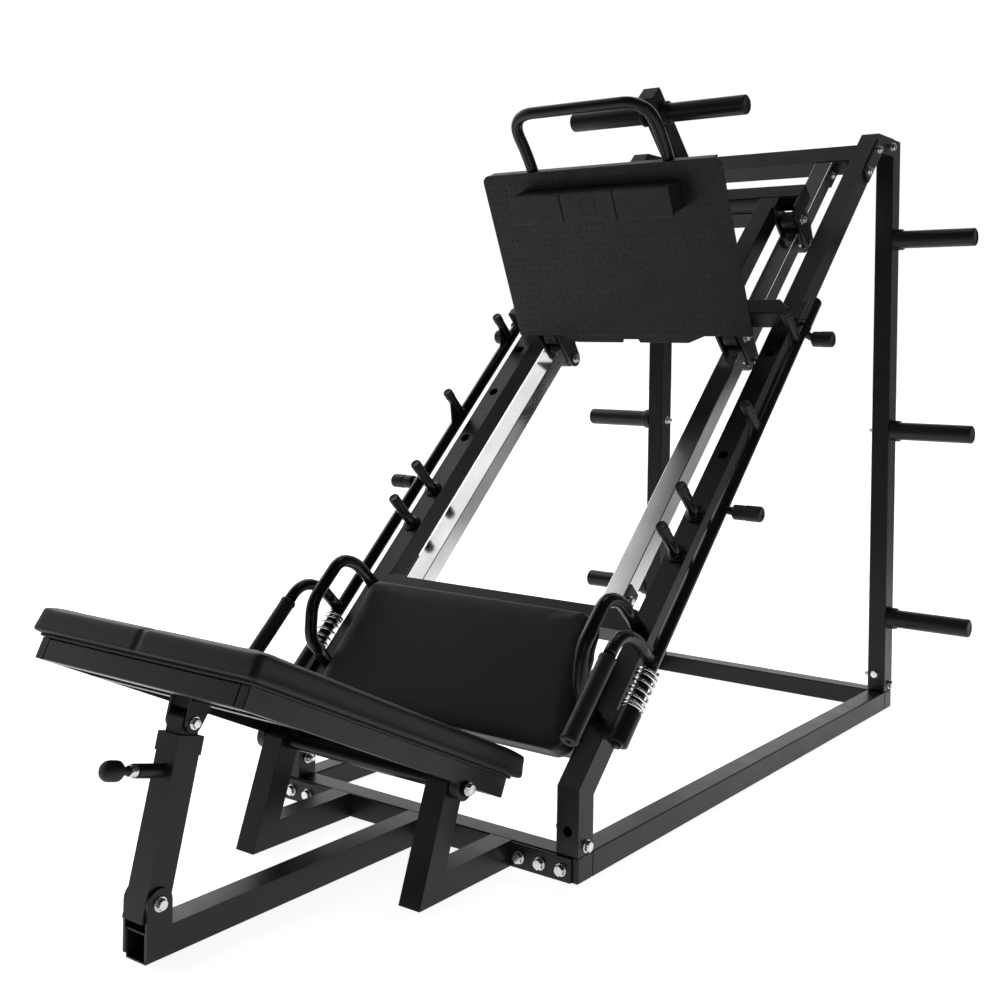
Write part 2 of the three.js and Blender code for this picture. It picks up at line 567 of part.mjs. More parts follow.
function addAdjustFork() {
  const inside = [-BACK_RAIL_X[0] + GAP, BACK_RAIL_X[0] - GAP];
  const centre = forkCentre();
  const cross = block(inside, [centre[0] - 20, centre[0] + 20], BACK_RAIL_Z);
  const earOutline = [...arc(centre, 17, Math.PI, 2 * Math.PI), [centre[0] + 26, 20], [centre[0] - 26, 20]];
  const ear = slab(earOutline, [21.5, 27.5]);
  const bolt = bar([-25, ...centre], [25, ...centre], 5, 16);
  piece(back, 'adjust_fork', join(cross, ear, mirrored(ear), bolt), coat);
}

// ---------------------------------------------------------------- adjusting post
const INNER_HALF = 19;
const SLEEVE_TOP = 235;
const COLLAR_TOP = 264;
const PIN_RADIUS = 5;

function addAdjustPost() {
  const bore = INNER_HALF + 1;
  const outer = block([-HALF_TUBE, HALF_TUBE], [-HALF_TUBE, HALF_TUBE], [-32, SLEEVE_TOP]);
  const collarHalf = 27;
  const collar = block([-collarHalf, collarHalf], [-collarHalf, collarHalf], [SLEEVE_TOP - 2, COLLAR_TOP]);
  const barrel = bar([0, -HALF_TUBE + 2, PIN_U], [0, -78, PIN_U], 12);
  const room = block([-bore, bore], [-bore, bore], [10, COLLAR_TOP + 5]);
  const pinRoom = bar([0, 0, PIN_U], [0, -90, PIN_U], PIN_RADIUS + FIT, 16);
  const boltRoom = bar([-30, 0, 0], [30, 0, 0], 6 + FIT, 16);
  piece(post, 'adjust_sleeve', cut(join(outer, collar, barrel), room, pinRoom, boltRoom), coat);

  const stem = slab([[-INNER_HALF, 14], [INNER_HALF, 14], [INNER_HALF, POST_LENGTH],
    ...arc([0, POST_LENGTH], INNER_HALF, 0, Math.PI).slice(1, -1), [-INNER_HALF, POST_LENGTH]],
  [-INNER_HALF, INNER_HALF]);
  const topRoom = bar([-30, 0, POST_LENGTH], [30, 0, POST_LENGTH], 8.5, 16);
  const pinHoles = [0, 1, 2, 3].map((i) =>
    bar([0, -INNER_HALF - 5, PIN_U - i * 45.6], [0, -INNER_HALF + 12, PIN_U - i * 45.6], PIN_RADIUS + 1, 12));
  piece(post, 'adjust_inner', cut(stem, topRoom, ...pinHoles), coat);

  const tip = INNER_HALF + 0.4;
  const pinProfile = [[0, tip], [PIN_RADIUS, tip + 2], [PIN_RADIUS, 82], [11, 82], [11, 90], [6, 92], [6, 106],
    [12, 108], [17, 112], [17, 134], [15, 142], [0, 144]];
  piece(post, 'adjust_pin', turned(pinProfile, [0, 0, PIN_U], [0, -1, 0]), rubber);
}

addBase();
addInclines();
addUprights();
addGuides();
addSpineAndSupports();
addSeat();
addGrabHandles();
addLockRods();
addStopPins();
addSledFrame();
addCarriages();
addFootPlate();
addSledStand();
addSledHandle();
addBackrest();
addAdjustFork();
addAdjustPost();

// The origin is on the floor under the middle of the whole machine.
machine.updateMatrixWorld(true);
const extent = new THREE.Box3().setFromObject(machine, true);
machine.position.y = -(extent.min.y + extent.max.y) / 2;

export default machine;
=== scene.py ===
"""A plate-loaded 45 degree leg press: the looks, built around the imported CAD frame.

Shapes are drawn in millimetres in the frames that the machine is designed in, and placed in metres.
"""

import json
import math

import bmesh
import bpy
from mathutils import Matrix, Vector


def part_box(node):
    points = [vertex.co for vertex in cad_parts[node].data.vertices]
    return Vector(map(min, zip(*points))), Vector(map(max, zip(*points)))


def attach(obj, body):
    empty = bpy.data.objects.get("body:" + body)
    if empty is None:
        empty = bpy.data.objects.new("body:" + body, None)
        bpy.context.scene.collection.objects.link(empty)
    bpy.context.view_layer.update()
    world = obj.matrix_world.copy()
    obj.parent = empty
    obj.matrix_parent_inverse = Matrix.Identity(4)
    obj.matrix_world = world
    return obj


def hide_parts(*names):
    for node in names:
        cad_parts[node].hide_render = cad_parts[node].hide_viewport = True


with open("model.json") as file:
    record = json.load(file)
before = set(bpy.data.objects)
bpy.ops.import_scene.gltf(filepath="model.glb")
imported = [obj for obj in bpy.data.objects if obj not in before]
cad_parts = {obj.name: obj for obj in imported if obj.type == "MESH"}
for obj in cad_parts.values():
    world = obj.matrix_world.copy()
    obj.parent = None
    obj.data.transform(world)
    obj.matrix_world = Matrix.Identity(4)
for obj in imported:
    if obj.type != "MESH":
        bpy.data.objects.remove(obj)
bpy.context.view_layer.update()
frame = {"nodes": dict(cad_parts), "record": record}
NODES = frame["nodes"]
SLOT_OF = {part["node"]: part["material_slot"] for part in frame["record"]["subparts"]}

MM = 0.001
SIDES = (("right", 1), ("left", -1))

# ------------------------------------------------------------------ the frames that pieces are placed in
# Every frame has x across the machine. The machine frame starts at the front face of the front cross tube.
FRONT_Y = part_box("base_front_cross")[0].y


def placed(y, z, degrees):
    """A frame at y, z of the machine, turned about x."""
    return Matrix.Translation((0, FRONT_Y + y * MM, z * MM)) @ Matrix.Rotation(math.radians(degrees), 4, "X")


RAIL_BASE_Z = 178
BACK_SLOPE = 25.2
PLATE_LEAN = math.degrees(math.atan2(0.361, 0.932))
MACHINE = placed(0, 0, 0)
RAIL = placed(0, RAIL_BASE_Z, 45)  # y up the incline, z out of it
BACK = placed(-175, 200, -BACK_SLOPE)  # y down to the seat, z out of the cushion
POST = placed(-667, 93, -13.6)  # z up the post
SEAT = placed(62, 203.8, 57)  # y up the seat, z out of the cushion
PLATE_AT = Vector((0, 1167.5, 51.7))
PLATE = RAIL @ Matrix.Translation(PLATE_AT * MM) @ Matrix.Rotation(math.radians(90 - PLATE_LEAN), 4, "X")


def span(node, place):
    """The lowest and highest corner of a CAD node in one of the frames, in millimetres."""
    inverse = place.inverted()
    points = [inverse @ vertex.co / MM for vertex in NODES[node].data.vertices]
    low, high = (Vector(pick(p[i] for p in points) for i in range(3)) for pick in (min, max))
    return low, high


# ------------------------------------------------------------------ materials
class Nodes:
    """A material's node tree, with the few links that every surface here needs."""

    def __init__(self, name):
        self.material = bpy.data.materials.new(name)
        self.material.use_nodes = True
        self.tree = self.material.node_tree
        self.shader = self.tree.nodes["Principled BSDF"]
        self.coordinates = self.add("ShaderNodeTexCoord").outputs["Object"]

    def add(self, kind, **settings):
        node = self.tree.nodes.new(kind)
        for key, value in settings.items():
            setattr(node, key, value)
        return node

    def link(self, output, socket):
        self.tree.links.new(output, socket)

    def stretched(self, scale, turn=0.0):
        mapping = self.add("ShaderNodeMapping")
        mapping.inputs["Scale"].default_value = scale
        mapping.inputs["Rotation"].default_value = (turn, 0, 0)
        self.link(self.coordinates, mapping.inputs["Vector"])
        return mapping.outputs["Vector"]

    def noise(self, scale, detail=3.0, vector=None):
        texture = self.add("ShaderNodeTexNoise")
        texture.inputs["Scale"].default_value = scale
        texture.inputs["Detail"].default_value = detail
        self.link(vector or self.coordinates, texture.inputs["Vector"])
        return texture.outputs["Fac"]

    def cells(self, scale, feature="F1"):
        texture = self.add("ShaderNodeTexVoronoi", feature=feature)
        texture.inputs["Scale"].default_value = scale
        self.link(self.coordinates, texture.inputs["Vector"])
        return texture.outputs["Distance"]

    def ranged(self, value, low, high, start=0.3, end=0.7):
        node = self.add("ShaderNodeMapRange")
        for key, number in (("From Min", start), ("From Max", end), ("To Min", low), ("To Max", high)):
            node.inputs[key].default_value = number
        self.link(value, node.inputs["Value"])
        return node.outputs["Result"]

    def colours(self, value, dark, light):
        ramp = self.add("ShaderNodeValToRGB")
        ramp.color_ramp.elements[0].position = 0.3
        ramp.color_ramp.elements[1].position = 0.7
        ramp.color_ramp.elements[0].color = (*dark, 1)
        ramp.color_ramp.elements[1].color = (*light, 1)
        self.link(value, ramp.inputs["Fac"])
        self.link(ramp.outputs["Color"], self.shader.inputs["Base Color"])

    def bump(self, height, distance, strength=1.0, under=None):
        node = self.add("ShaderNodeBump")
        node.inputs["Distance"].default_value = distance
        node.inputs["Strength"].default_value = strength
        self.link(height, node.inputs["Height"])
        if under:
            self.link(under, node.inputs["Normal"])
        self.link(node.outputs["Normal"], self.shader.inputs["Normal"])
        return node.outputs["Normal"]

    def rough(self, value, low, high):
        self.link(self.ranged(value, low, high), self.shader.inputs["Roughness"])


PAINT_SPECULAR = 0.26
LEATHER_SPECULAR = 0.26
MOULDED_SPECULAR = 0.28


def painted(name, dark, light, rough_low, rough_high, peel):
    """Paint baked on steel: an orange-peel surface whose gloss and depth of colour drift a little."""
    nodes = Nodes(name)
    nodes.shader.inputs["Specular IOR Level"].default_value = PAINT_SPECULAR
    nodes.colours(nodes.noise(6, 4), dark, light)
    nodes.rough(nodes.noise(17, 5), rough_low, rough_high)
    broad = nodes.bump(nodes.noise(230, 2), peel, 0.5)
    nodes.bump(nodes.noise(1400, 2), peel * 0.4, 0.6, broad)
    return nodes.material


def polished(name, dark, light, rough_low, rough_high, lines):
    """Bare or plated metal with fine lines drawn along the incline."""
    nodes = Nodes(name)
    nodes.shader.inputs["Metallic"].default_value = 1.0
    nodes.colours(nodes.noise(9, 4), dark, light)
    drawn = nodes.noise(lines, 4, nodes.stretched((1, 0.02, 1), -math.pi / 4))
    nodes.rough(drawn, rough_low, rough_high)
    nodes.bump(drawn, 0.00004, 0.5)
    return nodes.material


def leather(name):
    """Synthetic leather: a pebbled grain, finer wrinkles between, and a soft satin finish."""
    nodes = Nodes(name)
    nodes.colours(nodes.noise(9, 5), (0.0088, 0.0091, 0.0104), (0.0112, 0.0116, 0.0132))
    nodes.rough(nodes.noise(25, 4), 0.44, 0.50)
    nodes.shader.inputs["Specular IOR Level"].default_value = LEATHER_SPECULAR
    grain = nodes.bump(nodes.cells(620, "SMOOTH_F1"), 0.00020, 0.40)
    nodes.bump(nodes.noise(1500, 3), 0.00008, 0.4, grain)
    return nodes.material


def moulded(name, dark, light, rough_low, rough_high, grain):
    """Moulded rubber or plastic with a fine matt grain."""
    nodes = Nodes(name)
    nodes.shader.inputs["Specular IOR Level"].default_value = MOULDED_SPECULAR
    nodes.colours(nodes.noise(11, 4), dark, light)
    nodes.rough(nodes.noise(60, 4), rough_low, rough_high)
    nodes.bump(nodes.noise(grain, 4), 0.00016, 0.6)
    return nodes.material


def plywood(name):
    """Dark stained plywood with its grain along the backrest."""
    nodes = Nodes(name)
    grain = nodes.noise(24, 6, nodes.stretched((9, 1, 40), math.radians(BACK_SLOPE)))
    nodes.colours(grain, (0.010, 0.0085, 0.0075), (0.030, 0.025, 0.021))
    nodes.rough(grain, 0.55, 0.75)
    nodes.bump(grain, 0.0003, 0.5)
    return nodes.material


MATERIALS = {
    "coat": painted("satin_powder_coat", (0.0066, 0.0070, 0.0086), (0.0100, 0.0106, 0.0128), 0.30, 0.38, 0.00022),
    "gloss": painted("gloss_black_paint", (0.0055, 0.0058, 0.0066), (0.0090, 0.0094, 0.0106), 0.20, 0.29, 0.00016),
    "tread": painted("satin_tread_plate", (0.0070, 0.0074, 0.0090), (0.0105, 0.0111, 0.0132), 0.38, 0.46, 0.00022),
    "chrome": polished("polished_chrome", (0.66, 0.65, 0.66), (0.80, 0.79, 0.80), 0.07, 0.16, 900),
    "steel": polished("bright_zinc", (0.58, 0.59, 0.61), (0.76, 0.77, 0.79), 0.18, 0.32, 500),
    "vinyl": leather("black_synthetic_leather"),
    "rubber": moulded("black_rubber", (0.0080, 0.0082, 0.0090), (0.0140, 0.0142, 0.0155), 0.42, 0.56, 900),
    "board": plywood("dark_stained_plywood"),
    "nylon": moulded("dark_nylon", (0.016, 0.0165, 0.018), (0.026, 0.0265, 0.029), 0.34, 0.46, 600),
}


# ------------------------------------------------------------------ shapes
def arc(centre, radius, start, end, steps=12):
    """Points on an arc, with the angles in degrees."""
    angles = (math.radians(start + (end - start) * i / steps) for i in range(steps + 1))
    return [(centre[0] + radius * math.cos(a), centre[1] + radius * math.sin(a)) for a in angles]


def mirror_line(points):
    """The same line of (x, y) points on the left side, in the opposite order."""
    return [(-x, y) for x, y in reversed(points)]


def rounded_path(corners, bend, steps=10):
    """A line through corner points whose corners are eased over the length `bend`."""
    points = [Vector(c) for c in corners]
    path = [points[0]]
    for before, corner, after in zip(points, points[1:], points[2:]):
        start = corner + (before - corner).normalized() * bend
        end = corner + (after - corner).normalized() * bend
        for i in range(steps + 1):
            t = i / steps
            path.append(start * (1 - t) ** 2 + corner * 2 * t * (1 - t) + end * t**2)
    path.append(points[-1])
    return path


class Shape:
    """A mesh being drawn, in millimetres of one of the frames."""

    def __init__(self):
        self.mesh = bmesh.new()

    def ring(self, centre, across, up, radius, sides):
        angles = (2 * math.pi * i / sides for i in range(sides))
        return [self.mesh.verts.new(centre + (across * math.cos(a) + up * math.sin(a)) * radius) for a in angles]

    def bridge(self, first, second):
        count = len(first)
        for i in range(count):
            j = (i + 1) % count
            self.mesh.faces.new((first[i], first[j], second[j], second[i]))

    def turned(self, profile, start, direction, sides=32, first_angle=0.0):
        """A turned piece: (radius, distance) pairs about the line from `start` along `direction`."""
        axis = Vector(direction).normalized()
        guide = Vector((0, 0, 1)) if abs(axis.z) < 0.9 else Vector((1, 0, 0))
        across = axis.cross(guide).normalized()
        up = axis.cross(across)
        across, up = (across * math.cos(first_angle) + up * math.sin(first_angle),
                      up * math.cos(first_angle) - across * math.sin(first_angle))
        last = None
        for radius, distance in profile:
            centre = Vector(start) + axis * distance
            if radius == 0:
                ring = [self.mesh.verts.new(centre)]
            else:
                ring = self.ring(centre, across, up, radius, sides)
            if last and len(last) == 1 and len(ring) > 1:
                for i in range(sides):
                    self.mesh.faces.new((last[0], ring[(i + 1) % sides], ring[i]))
            elif last and len(ring) == 1 and len(last) > 1:
                for i in range(sides):
                    self.mesh.faces.new((ring[0], last[i], last[(i + 1) % sides]))
            elif last and len(ring) > 1:
                self.bridge(last, ring)
            last = ring
        return self

    def rod(self, start, end, radius, sides=32, edge=1.0):
        """A round bar with eased ends."""
        start, end = Vector(start), Vector(end)
        length = (end - start).length
        profile = [(0, 0), (radius - edge, 0), (radius, edge),
                   (radius, length - edge), (radius - edge, length), (0, length)]
        return self.turned(profile, start, end - start, sides)

    def tube(self, path, radius, sides=24):
        """A round tube along a line of points, closed at both ends."""
        points = [Vector(p) for p in path]
        forward = (points[1] - points[0]).normalized()
        guide = Vector((1, 0, 0)) if abs(forward.x) < 0.9 else Vector((0, 0, 1))
        across = forward.cross(guide).normalized()
        rings = []
        for i, point in enumerate(points):
            before = points[max(i - 1, 0)]
            after = points[min(i + 1, len(points) - 1)]
            forward = (after - before).normalized()
            across = (across - forward * across.dot(forward)).normalized()
            rings.append(self.ring(point, across, forward.cross(across), radius, sides))
        for first, second in zip(rings, rings[1:]):
            self.bridge(first, second)
        self.mesh.faces.new(list(reversed(rings[0])))
        self.mesh.faces.new(rings[-1])
        return self

    def slab(self, outline, low, high, axis=0):
        """A flat outline, thick along one axis. Its points are the other two axes, in order."""
        def at(point, depth):
            place = list(point)
            place.insert(axis, depth)
            return self.mesh.verts.new(place)

        first = [at(p, low) for p in outline]
        second = [at(p, high) for p in outline]
        self.bridge(first, second)
        self.mesh.faces.new(list(reversed(first)))
        self.mesh.faces.new(second)
        return self

    def box(self, x, y, z):
        return self.slab([(y[0], z[0]), (y[1], z[0]), (y[1], z[1]), (y[0], z[1])], x[0], x[1])

    def bolt(self, at, direction, across=17, head=7.5, washer=12.5):
        """A hexagon head on its washer."""
        self.turned([(0, 0), (washer - 0.4, 0), (washer, 0.4), (washer, 1.7), (washer - 0.5, 2.1), (0, 2.1)],
                    at, direction)
        corner = across / math.sqrt(3)
        top = 2 + head
        self.turned([(0, 2), (corner, 2), (corner, top - 1.4), (corner * 0.87, top), (0, top)],
                    at, direction, 6, 0.4)
        self.turned([(corner * 0.84, top - 1), (corner * 0.80, top + 0.3), (corner * 0.5, top + 0.5), (0, top + 0.6)],
                    at, direction, 24)
        return self

    def nut(self, at, direction, across=17, stub=6):
        """A lock nut on its washer, with the end of the bolt's thread standing out of it."""
        self.turned([(0, 0), (12.1, 0), (12.5, 0.4), (12.5, 1.7), (12, 2.1), (0, 2.1)], at, direction)
        corner = across / math.sqrt(3)
        self.turned([(0, 2), (corner * 0.9, 2), (corner, 3), (corner, 9), (corner * 0.9, 10), (0, 10)],
                    at, direction, 6, 0.2)
        self.turned([(0, 9.5), (6.9, 9.5), (6.9, 12), (6.2, 12.8), (0, 12.8)], at, direction, 24)
        thread = [(0, 12)]
        for i in range(stub):
            thread += [(4.6, 12 + i), (5, 12.5 + i)]
        self.turned([*thread, (4, 12 + stub), (0, 12 + stub)], at, direction, 20)
        return self

    def weld(self, at, direction, radius, size=3.5):
        """A rippled fillet of weld round the foot of a tube."""
        axis = Vector(direction).normalized()
        guide = Vector((0, 0, 1)) if abs(axis.z) < 0.9 else Vector((1, 0, 0))
        across = axis.cross(guide).normalized()
        up = axis.cross(across)
        steps = 72
        loops = []
        for i in range(steps):
            a = 2 * math.pi * i / steps
            out = across * math.cos(a) + up * math.sin(a)
            bead = size * (1 + 0.10 * math.sin(9 * a * radius / 14))
            points = [(radius - 1, 0), (radius + bead, 0), (radius + bead * 0.45, bead * 0.45), (radius - 1, bead)]
            loops.append([self.mesh.verts.new(Vector(at) + out * r + axis * h) for r, h in points])
        for i in range(steps):
            self.bridge(loops[i], loops[(i + 1) % steps])
        return self


BEVEL_SEGMENTS = 3
BEVEL_ANGLE = 35


def mirrored(mesh):
    """The left-hand copy of a right-hand mesh."""
    copy = mesh.copy()
    copy.transform(Matrix.Scale(-1, 4, (1, 0, 0)))
    copy.flip_normals()
    return copy


def finish_surface(piece, slot, bevel):
    """Eased edges, `bevel` millimetres wide, smooth shading and the slot's material."""
    piece.data.materials.clear()
    piece.data.materials.append(MATERIALS[slot])
    piece.data.shade_smooth()
    if bevel:
        modifier = piece.modifiers.new("eased_edges", "BEVEL")
        modifier.width = bevel * MM
        modifier.segments = BEVEL_SEGMENTS
        modifier.limit_method = "ANGLE"
        modifier.angle_limit = math.radians(BEVEL_ANGLE)
        modifier.harden_normals = True
    piece.modifiers.new("normals", "WEIGHTED_NORMAL").keep_sharp = True


def add_piece(name, mesh, body, slot, bevel, replaced=()):
    piece = bpy.data.objects.new(name, mesh)
    bpy.context.scene.collection.objects.link(piece)
    finish_surface(piece, slot, bevel)
    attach(piece, body)
    if replaced:
        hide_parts(*replaced)


def to_mesh(name, shape, place):
    """The drawn shape as a mesh in metres, moved from its frame to the world."""
    bmesh.ops.recalc_face_normals(shape.mesh, faces=shape.mesh.faces)
    mesh = bpy.data.meshes.new(name)
    shape.mesh.to_mesh(mesh)
    shape.mesh.free()
    mesh.transform(place @ Matrix.Scale(MM, 4))
    return mesh


def single(name, shape, place, body, slot, bevel=0.0, replaced=()):
    add_piece(name, to_mesh(name, shape, place), body, slot, bevel, replaced)


def pair(name, shape, place, body, slot, bevel=0.0, replaced=()):
    """A piece on the right side and its mirror image on the left. `{}` stands for the side in names."""
    right = to_mesh(name, shape, place)
    for (side, _), mesh in zip(SIDES, (right, mirrored(right))):
        nodes = [node.format(side) for node in replaced]
        add_piece(name.format(side), mesh, body.format(side), slot, bevel, nodes)


# ------------------------------------------------------------------ CAD pieces whose shape stays
EDGE = {"coat": 3.0, "chrome": 1.6, "steel": 1.2, "board": 1.5, "gloss": 1.5, "nylon": 1.0, "rubber": 1.5}
FINE_EDGE = {"back_support": 3.5, "carriage": 1.6, "adjust_fork": 1.2, "adjust_inner": 1.6, "adjust_sleeve": 2.2,
             "backrest_rail": 2.0, "rail_foot": 2.4, "top_rear": 2.4, "incline_tube": 2.6, "sled_lower_bar": 3.2}


def finish_cad_nodes():
    for name, node in NODES.items():
        slot = SLOT_OF[name]
        width = next((w for start, w in FINE_EDGE.items() if name.startswith(start)), EDGE.get(slot, 1.5))
        weld = node.modifiers.new("joined", "WELD")
        weld.merge_threshold = 0.00002
        flat = node.modifiers.new("flat_faces", "DECIMATE")
        flat.decimate_type = "DISSOLVE"
        flat.angle_limit = math.radians(0.6)
        finish_surface(node, slot, width)


finish_cad_nodes()

# ------------------------------------------------------------------ rear uprights and their storage pegs
PEG_RADIUS = 25
PEG_ROOT_X = 395
PEG_END_X = 623
PEG_HEIGHTS = (257, 789, 1332)


def peg(shape, start, direction, reach, radius, plug):
    """A plate peg: a weld at its foot, a collar that spaces the plate off the frame, and a plugged end."""
    shape.turned([(0, 0), (radius + 4.5, 0), (radius + 5, 0.5), (radius + 5, 20), (radius + 4, 22.5), (radius, 24),
                  (radius, reach - 5), (radius - 1, reach - 4), (0, reach - 4)], start, direction, 48)
    shape.weld(start, direction, radius + 5, 3)
    end = Vector(start) + Vector(direction).normalized() * (reach - 4.4)
    plug.turned([(0, 0), (radius - 0.4, 0), (radius - 0.2, 1), (radius - 1.2, 2.6), (radius - 4, 4.4),
                 (radius - 7, 4.4), (radius - 9, 3.4), (0, 3.0)], end, direction, 48)


def add_uprights():
    low, high = span("rear_upright_right", MACHINE)
    column = Shape().box((low.x, PEG_ROOT_X), (low.y, high.y), (low.z, high.z))
    pair("rear_column_{}", column, MACHINE, "frame", "coat", 3.5, ["rear_upright_{}"])
    pegs, plugs = Shape(), Shape()
    for height in PEG_HEIGHTS:
        peg(pegs, (PEG_ROOT_X, (low.y + high.y) / 2, height), (1, 0, 0), PEG_END_X - PEG_ROOT_X, PEG_RADIUS, plugs)
    pair("storage_pegs_{}", pegs, MACHINE, "frame", "coat")
    pair("storage_peg_plugs_{}", plugs, MACHINE, "frame", "rubber")


add_uprights()

# ------------------------------------------------------------------ lock rods
ROD_X = 428
ROD_RADIUS = 14
ROD_S = (120, 1350)
CATCH_S = (918, 1205)
CATCH_LENGTH = 88
CATCH_RADIUS = 11.6
ROD_COLLAR_S = 1251
ROD_END_NUT_S = 108
RELEASE_N = 145
RELEASE_ROOT_S = 287
RELEASE_RADIUS = 13
RELEASE_BEND = 34
LEVERS = (dict(s=688, n=-8, radius=17, stem=455, tip=520), dict(s=1240, n=-25, radius=19, stem=452, tip=502))
SPRING_RADIUS = 24
SPRING_WIRE = 3.3
SPRING_TURNS = 7


def add_lock_rods():
    rod = Shape().rod((ROD_X, ROD_S[0], 0), (ROD_X, ROD_S[1], 0), ROD_RADIUS, 40, 2)
    rod.turned([(13, 0), (18, 0), (19, 1), (19, 9), (18, 10), (13, 10)],
               (ROD_X, ROD_COLLAR_S, 0), (0, 1, 0), 40)
    caps = Shape()
    for s in CATCH_S:
        rod.rod((ROD_X, s, 0), (ROD_X, s, CATCH_LENGTH - 16), CATCH_RADIUS, 32)
        rod.weld((ROD_X, s, ROD_RADIUS - 1.5), (0, 0, 1), CATCH_RADIUS, 3)
        rod.slab([(s - 44, 11), (s, 11), (s, 56), (s - 9, 57), (s - 15, 50)], ROD_X - 3, ROD_X + 3)
        caps.turned([(0, 0), (12.1, 0), (12.5, 0.6), (12.5, 19), (11.4, 21.5), (9.5, 22), (8.6, 21), (0, 20.6)],
                    (ROD_X, s, CATCH_LENGTH - 22), (0, 0, 1), 36)
    for lever in LEVERS:
        foot = Vector((ROD_X, lever["s"], 0))
        stem_end = Vector((lever["stem"] + 4, lever["s"], lever["n"]))
        rod.rod(foot, stem_end, 9, 24)
        radius, reach = lever["radius"], lever["tip"] - lever["stem"]
        caps.turned([(0, 0), (radius - 2.5, 0), (radius - 0.6, 1.6), (radius - 0.6, reach * 0.36),
                     (radius - 1.6, reach * 0.39), (radius - 1.6, reach * 0.42), (radius, reach * 0.45),
                     (radius, reach - 3), (radius - 2, reach - 0.6), (radius - 6, reach), (radius - 8, reach - 1.2),
                     (0, reach - 1.8)], (lever["stem"], lever["s"], lever["n"]), (1, 0, 0), 40)
    line = [(RELEASE_ROOT_S, 0), (RELEASE_ROOT_S, 92), (252, RELEASE_N), (204, RELEASE_N)]
    rod.tube(rounded_path([(ROD_X, *point) for point in line], RELEASE_BEND), RELEASE_RADIUS)
    rod.weld((ROD_X, RELEASE_ROOT_S, ROD_RADIUS - 2), (0, 0, 1), RELEASE_RADIUS, 3)
    pair("lock_rod_{}_shaft", rod, RAIL, "lock_{}", "gloss", 0.0, ["lock_rod_{}"])
    pair("lock_rod_{}_caps", caps, RAIL, "lock_{}", "rubber")

    low, high = span("release_grip_right", RAIL)
    radius = (high.x - low.x) / 2
    length = high.y - low.y
    grip = Shape().turned(
        [(0, 0), (13.5, 0), (16.5, 0.8), (radius, 3), (radius, 9), (radius - 1.1, 11), (radius - 1.1, length - 10),
         (radius, length - 7), (radius, length - 2.5), (radius - 2, length - 0.4), (radius - 5, length),
         (7, length - 0.4), (5.5, length - 2), (5.5, length - 9), (0, length - 9)],
        (ROD_X, high.y, RELEASE_N), (0, -1, 0), 48)
    pair("release_grip_{}_sleeve", grip, RAIL, "lock_{}", "rubber", 0.0, ["release_grip_{}"])

    low, high = span("lock_spring_right", RAIL)
    coil_radius = SPRING_RADIUS - SPRING_WIRE
    run = (high.y - low.y) - 2 * SPRING_WIRE
    steps = SPRING_TURNS * 32
    coil = []
    for i in range(steps + 1):
        part = i / steps
        eased = part - math.sin(2 * math.pi * part) / (2 * math.pi) * 0.55
        angle = 2 * math.pi * SPRING_TURNS * part
        coil.append((ROD_X + coil_radius * math.cos(angle), low.y + SPRING_WIRE + run * eased,
                     coil_radius * math.sin(angle)))
    spring = Shape().tube(coil, SPRING_WIRE, 12)
    pair("lock_spring_{}_coil", spring, RAIL, "frame", "chrome", 0.0, ["lock_spring_{}"])

    rod_end = (ROD_X, ROD_END_NUT_S, 0)
    end_nut = Shape().turned([(0, -3), (15.5, -3), (17.5, -1.5), (17.5, 0), (0, 0)], rod_end, (0, 1, 0), 36)
    end_nut.turned([(0, -9), (8.5, -9), (10.5, -7), (10.5, -2.5), (0, -2.5)], rod_end, (0, 1, 0), 6)
    pair("rod_housing_{}_nut", end_nut, RAIL, "frame", "gloss", 0.6)


add_lock_rods()

# ------------------------------------------------------------------ stop pins
STOP_PIN_X = 372


def add_stop_pins():
    for height in ("low", "high"):
        for side, sign in SIDES:
            node = f"stop_pin_{height}_{side}"
            low, high = span(node, RAIL)
            s = (low.y + high.y) / 2
            at = (sign * STOP_PIN_X, s, 0)
            pin = Shape().turned(
                [(0, -30), (9, -30), (12, -26), (12, 0.3), (20.5, 0.3), (22, 1.3), (22, 4), (20.5, 5), (14.5, 5.4),
                 (13.2, 7), (12.2, 10), (12.2, 76), (0, 76)], at, (0, 0, 1), 40)
            single(f"{node}_shank", pin, RAIL, node, "gloss", 0.0, [node])
            cap = Shape().turned(
                [(0, 0), (12.6, 0), (13, 0.6), (13, 22), (12, 25.4), (10, 26), (8.6, 25), (0, 24.6)],
                (at[0], s, 72), (0, 0, 1), 40)
            single(f"{node}_cap", cap, RAIL, node, "rubber")


add_stop_pins()

# ------------------------------------------------------------------ rollers and their axle ends
ROLLER_HEIGHTS = ("low", "high")
ROLLER_PLACES = ("top", "under")
ROLLER_BORE = 8.5


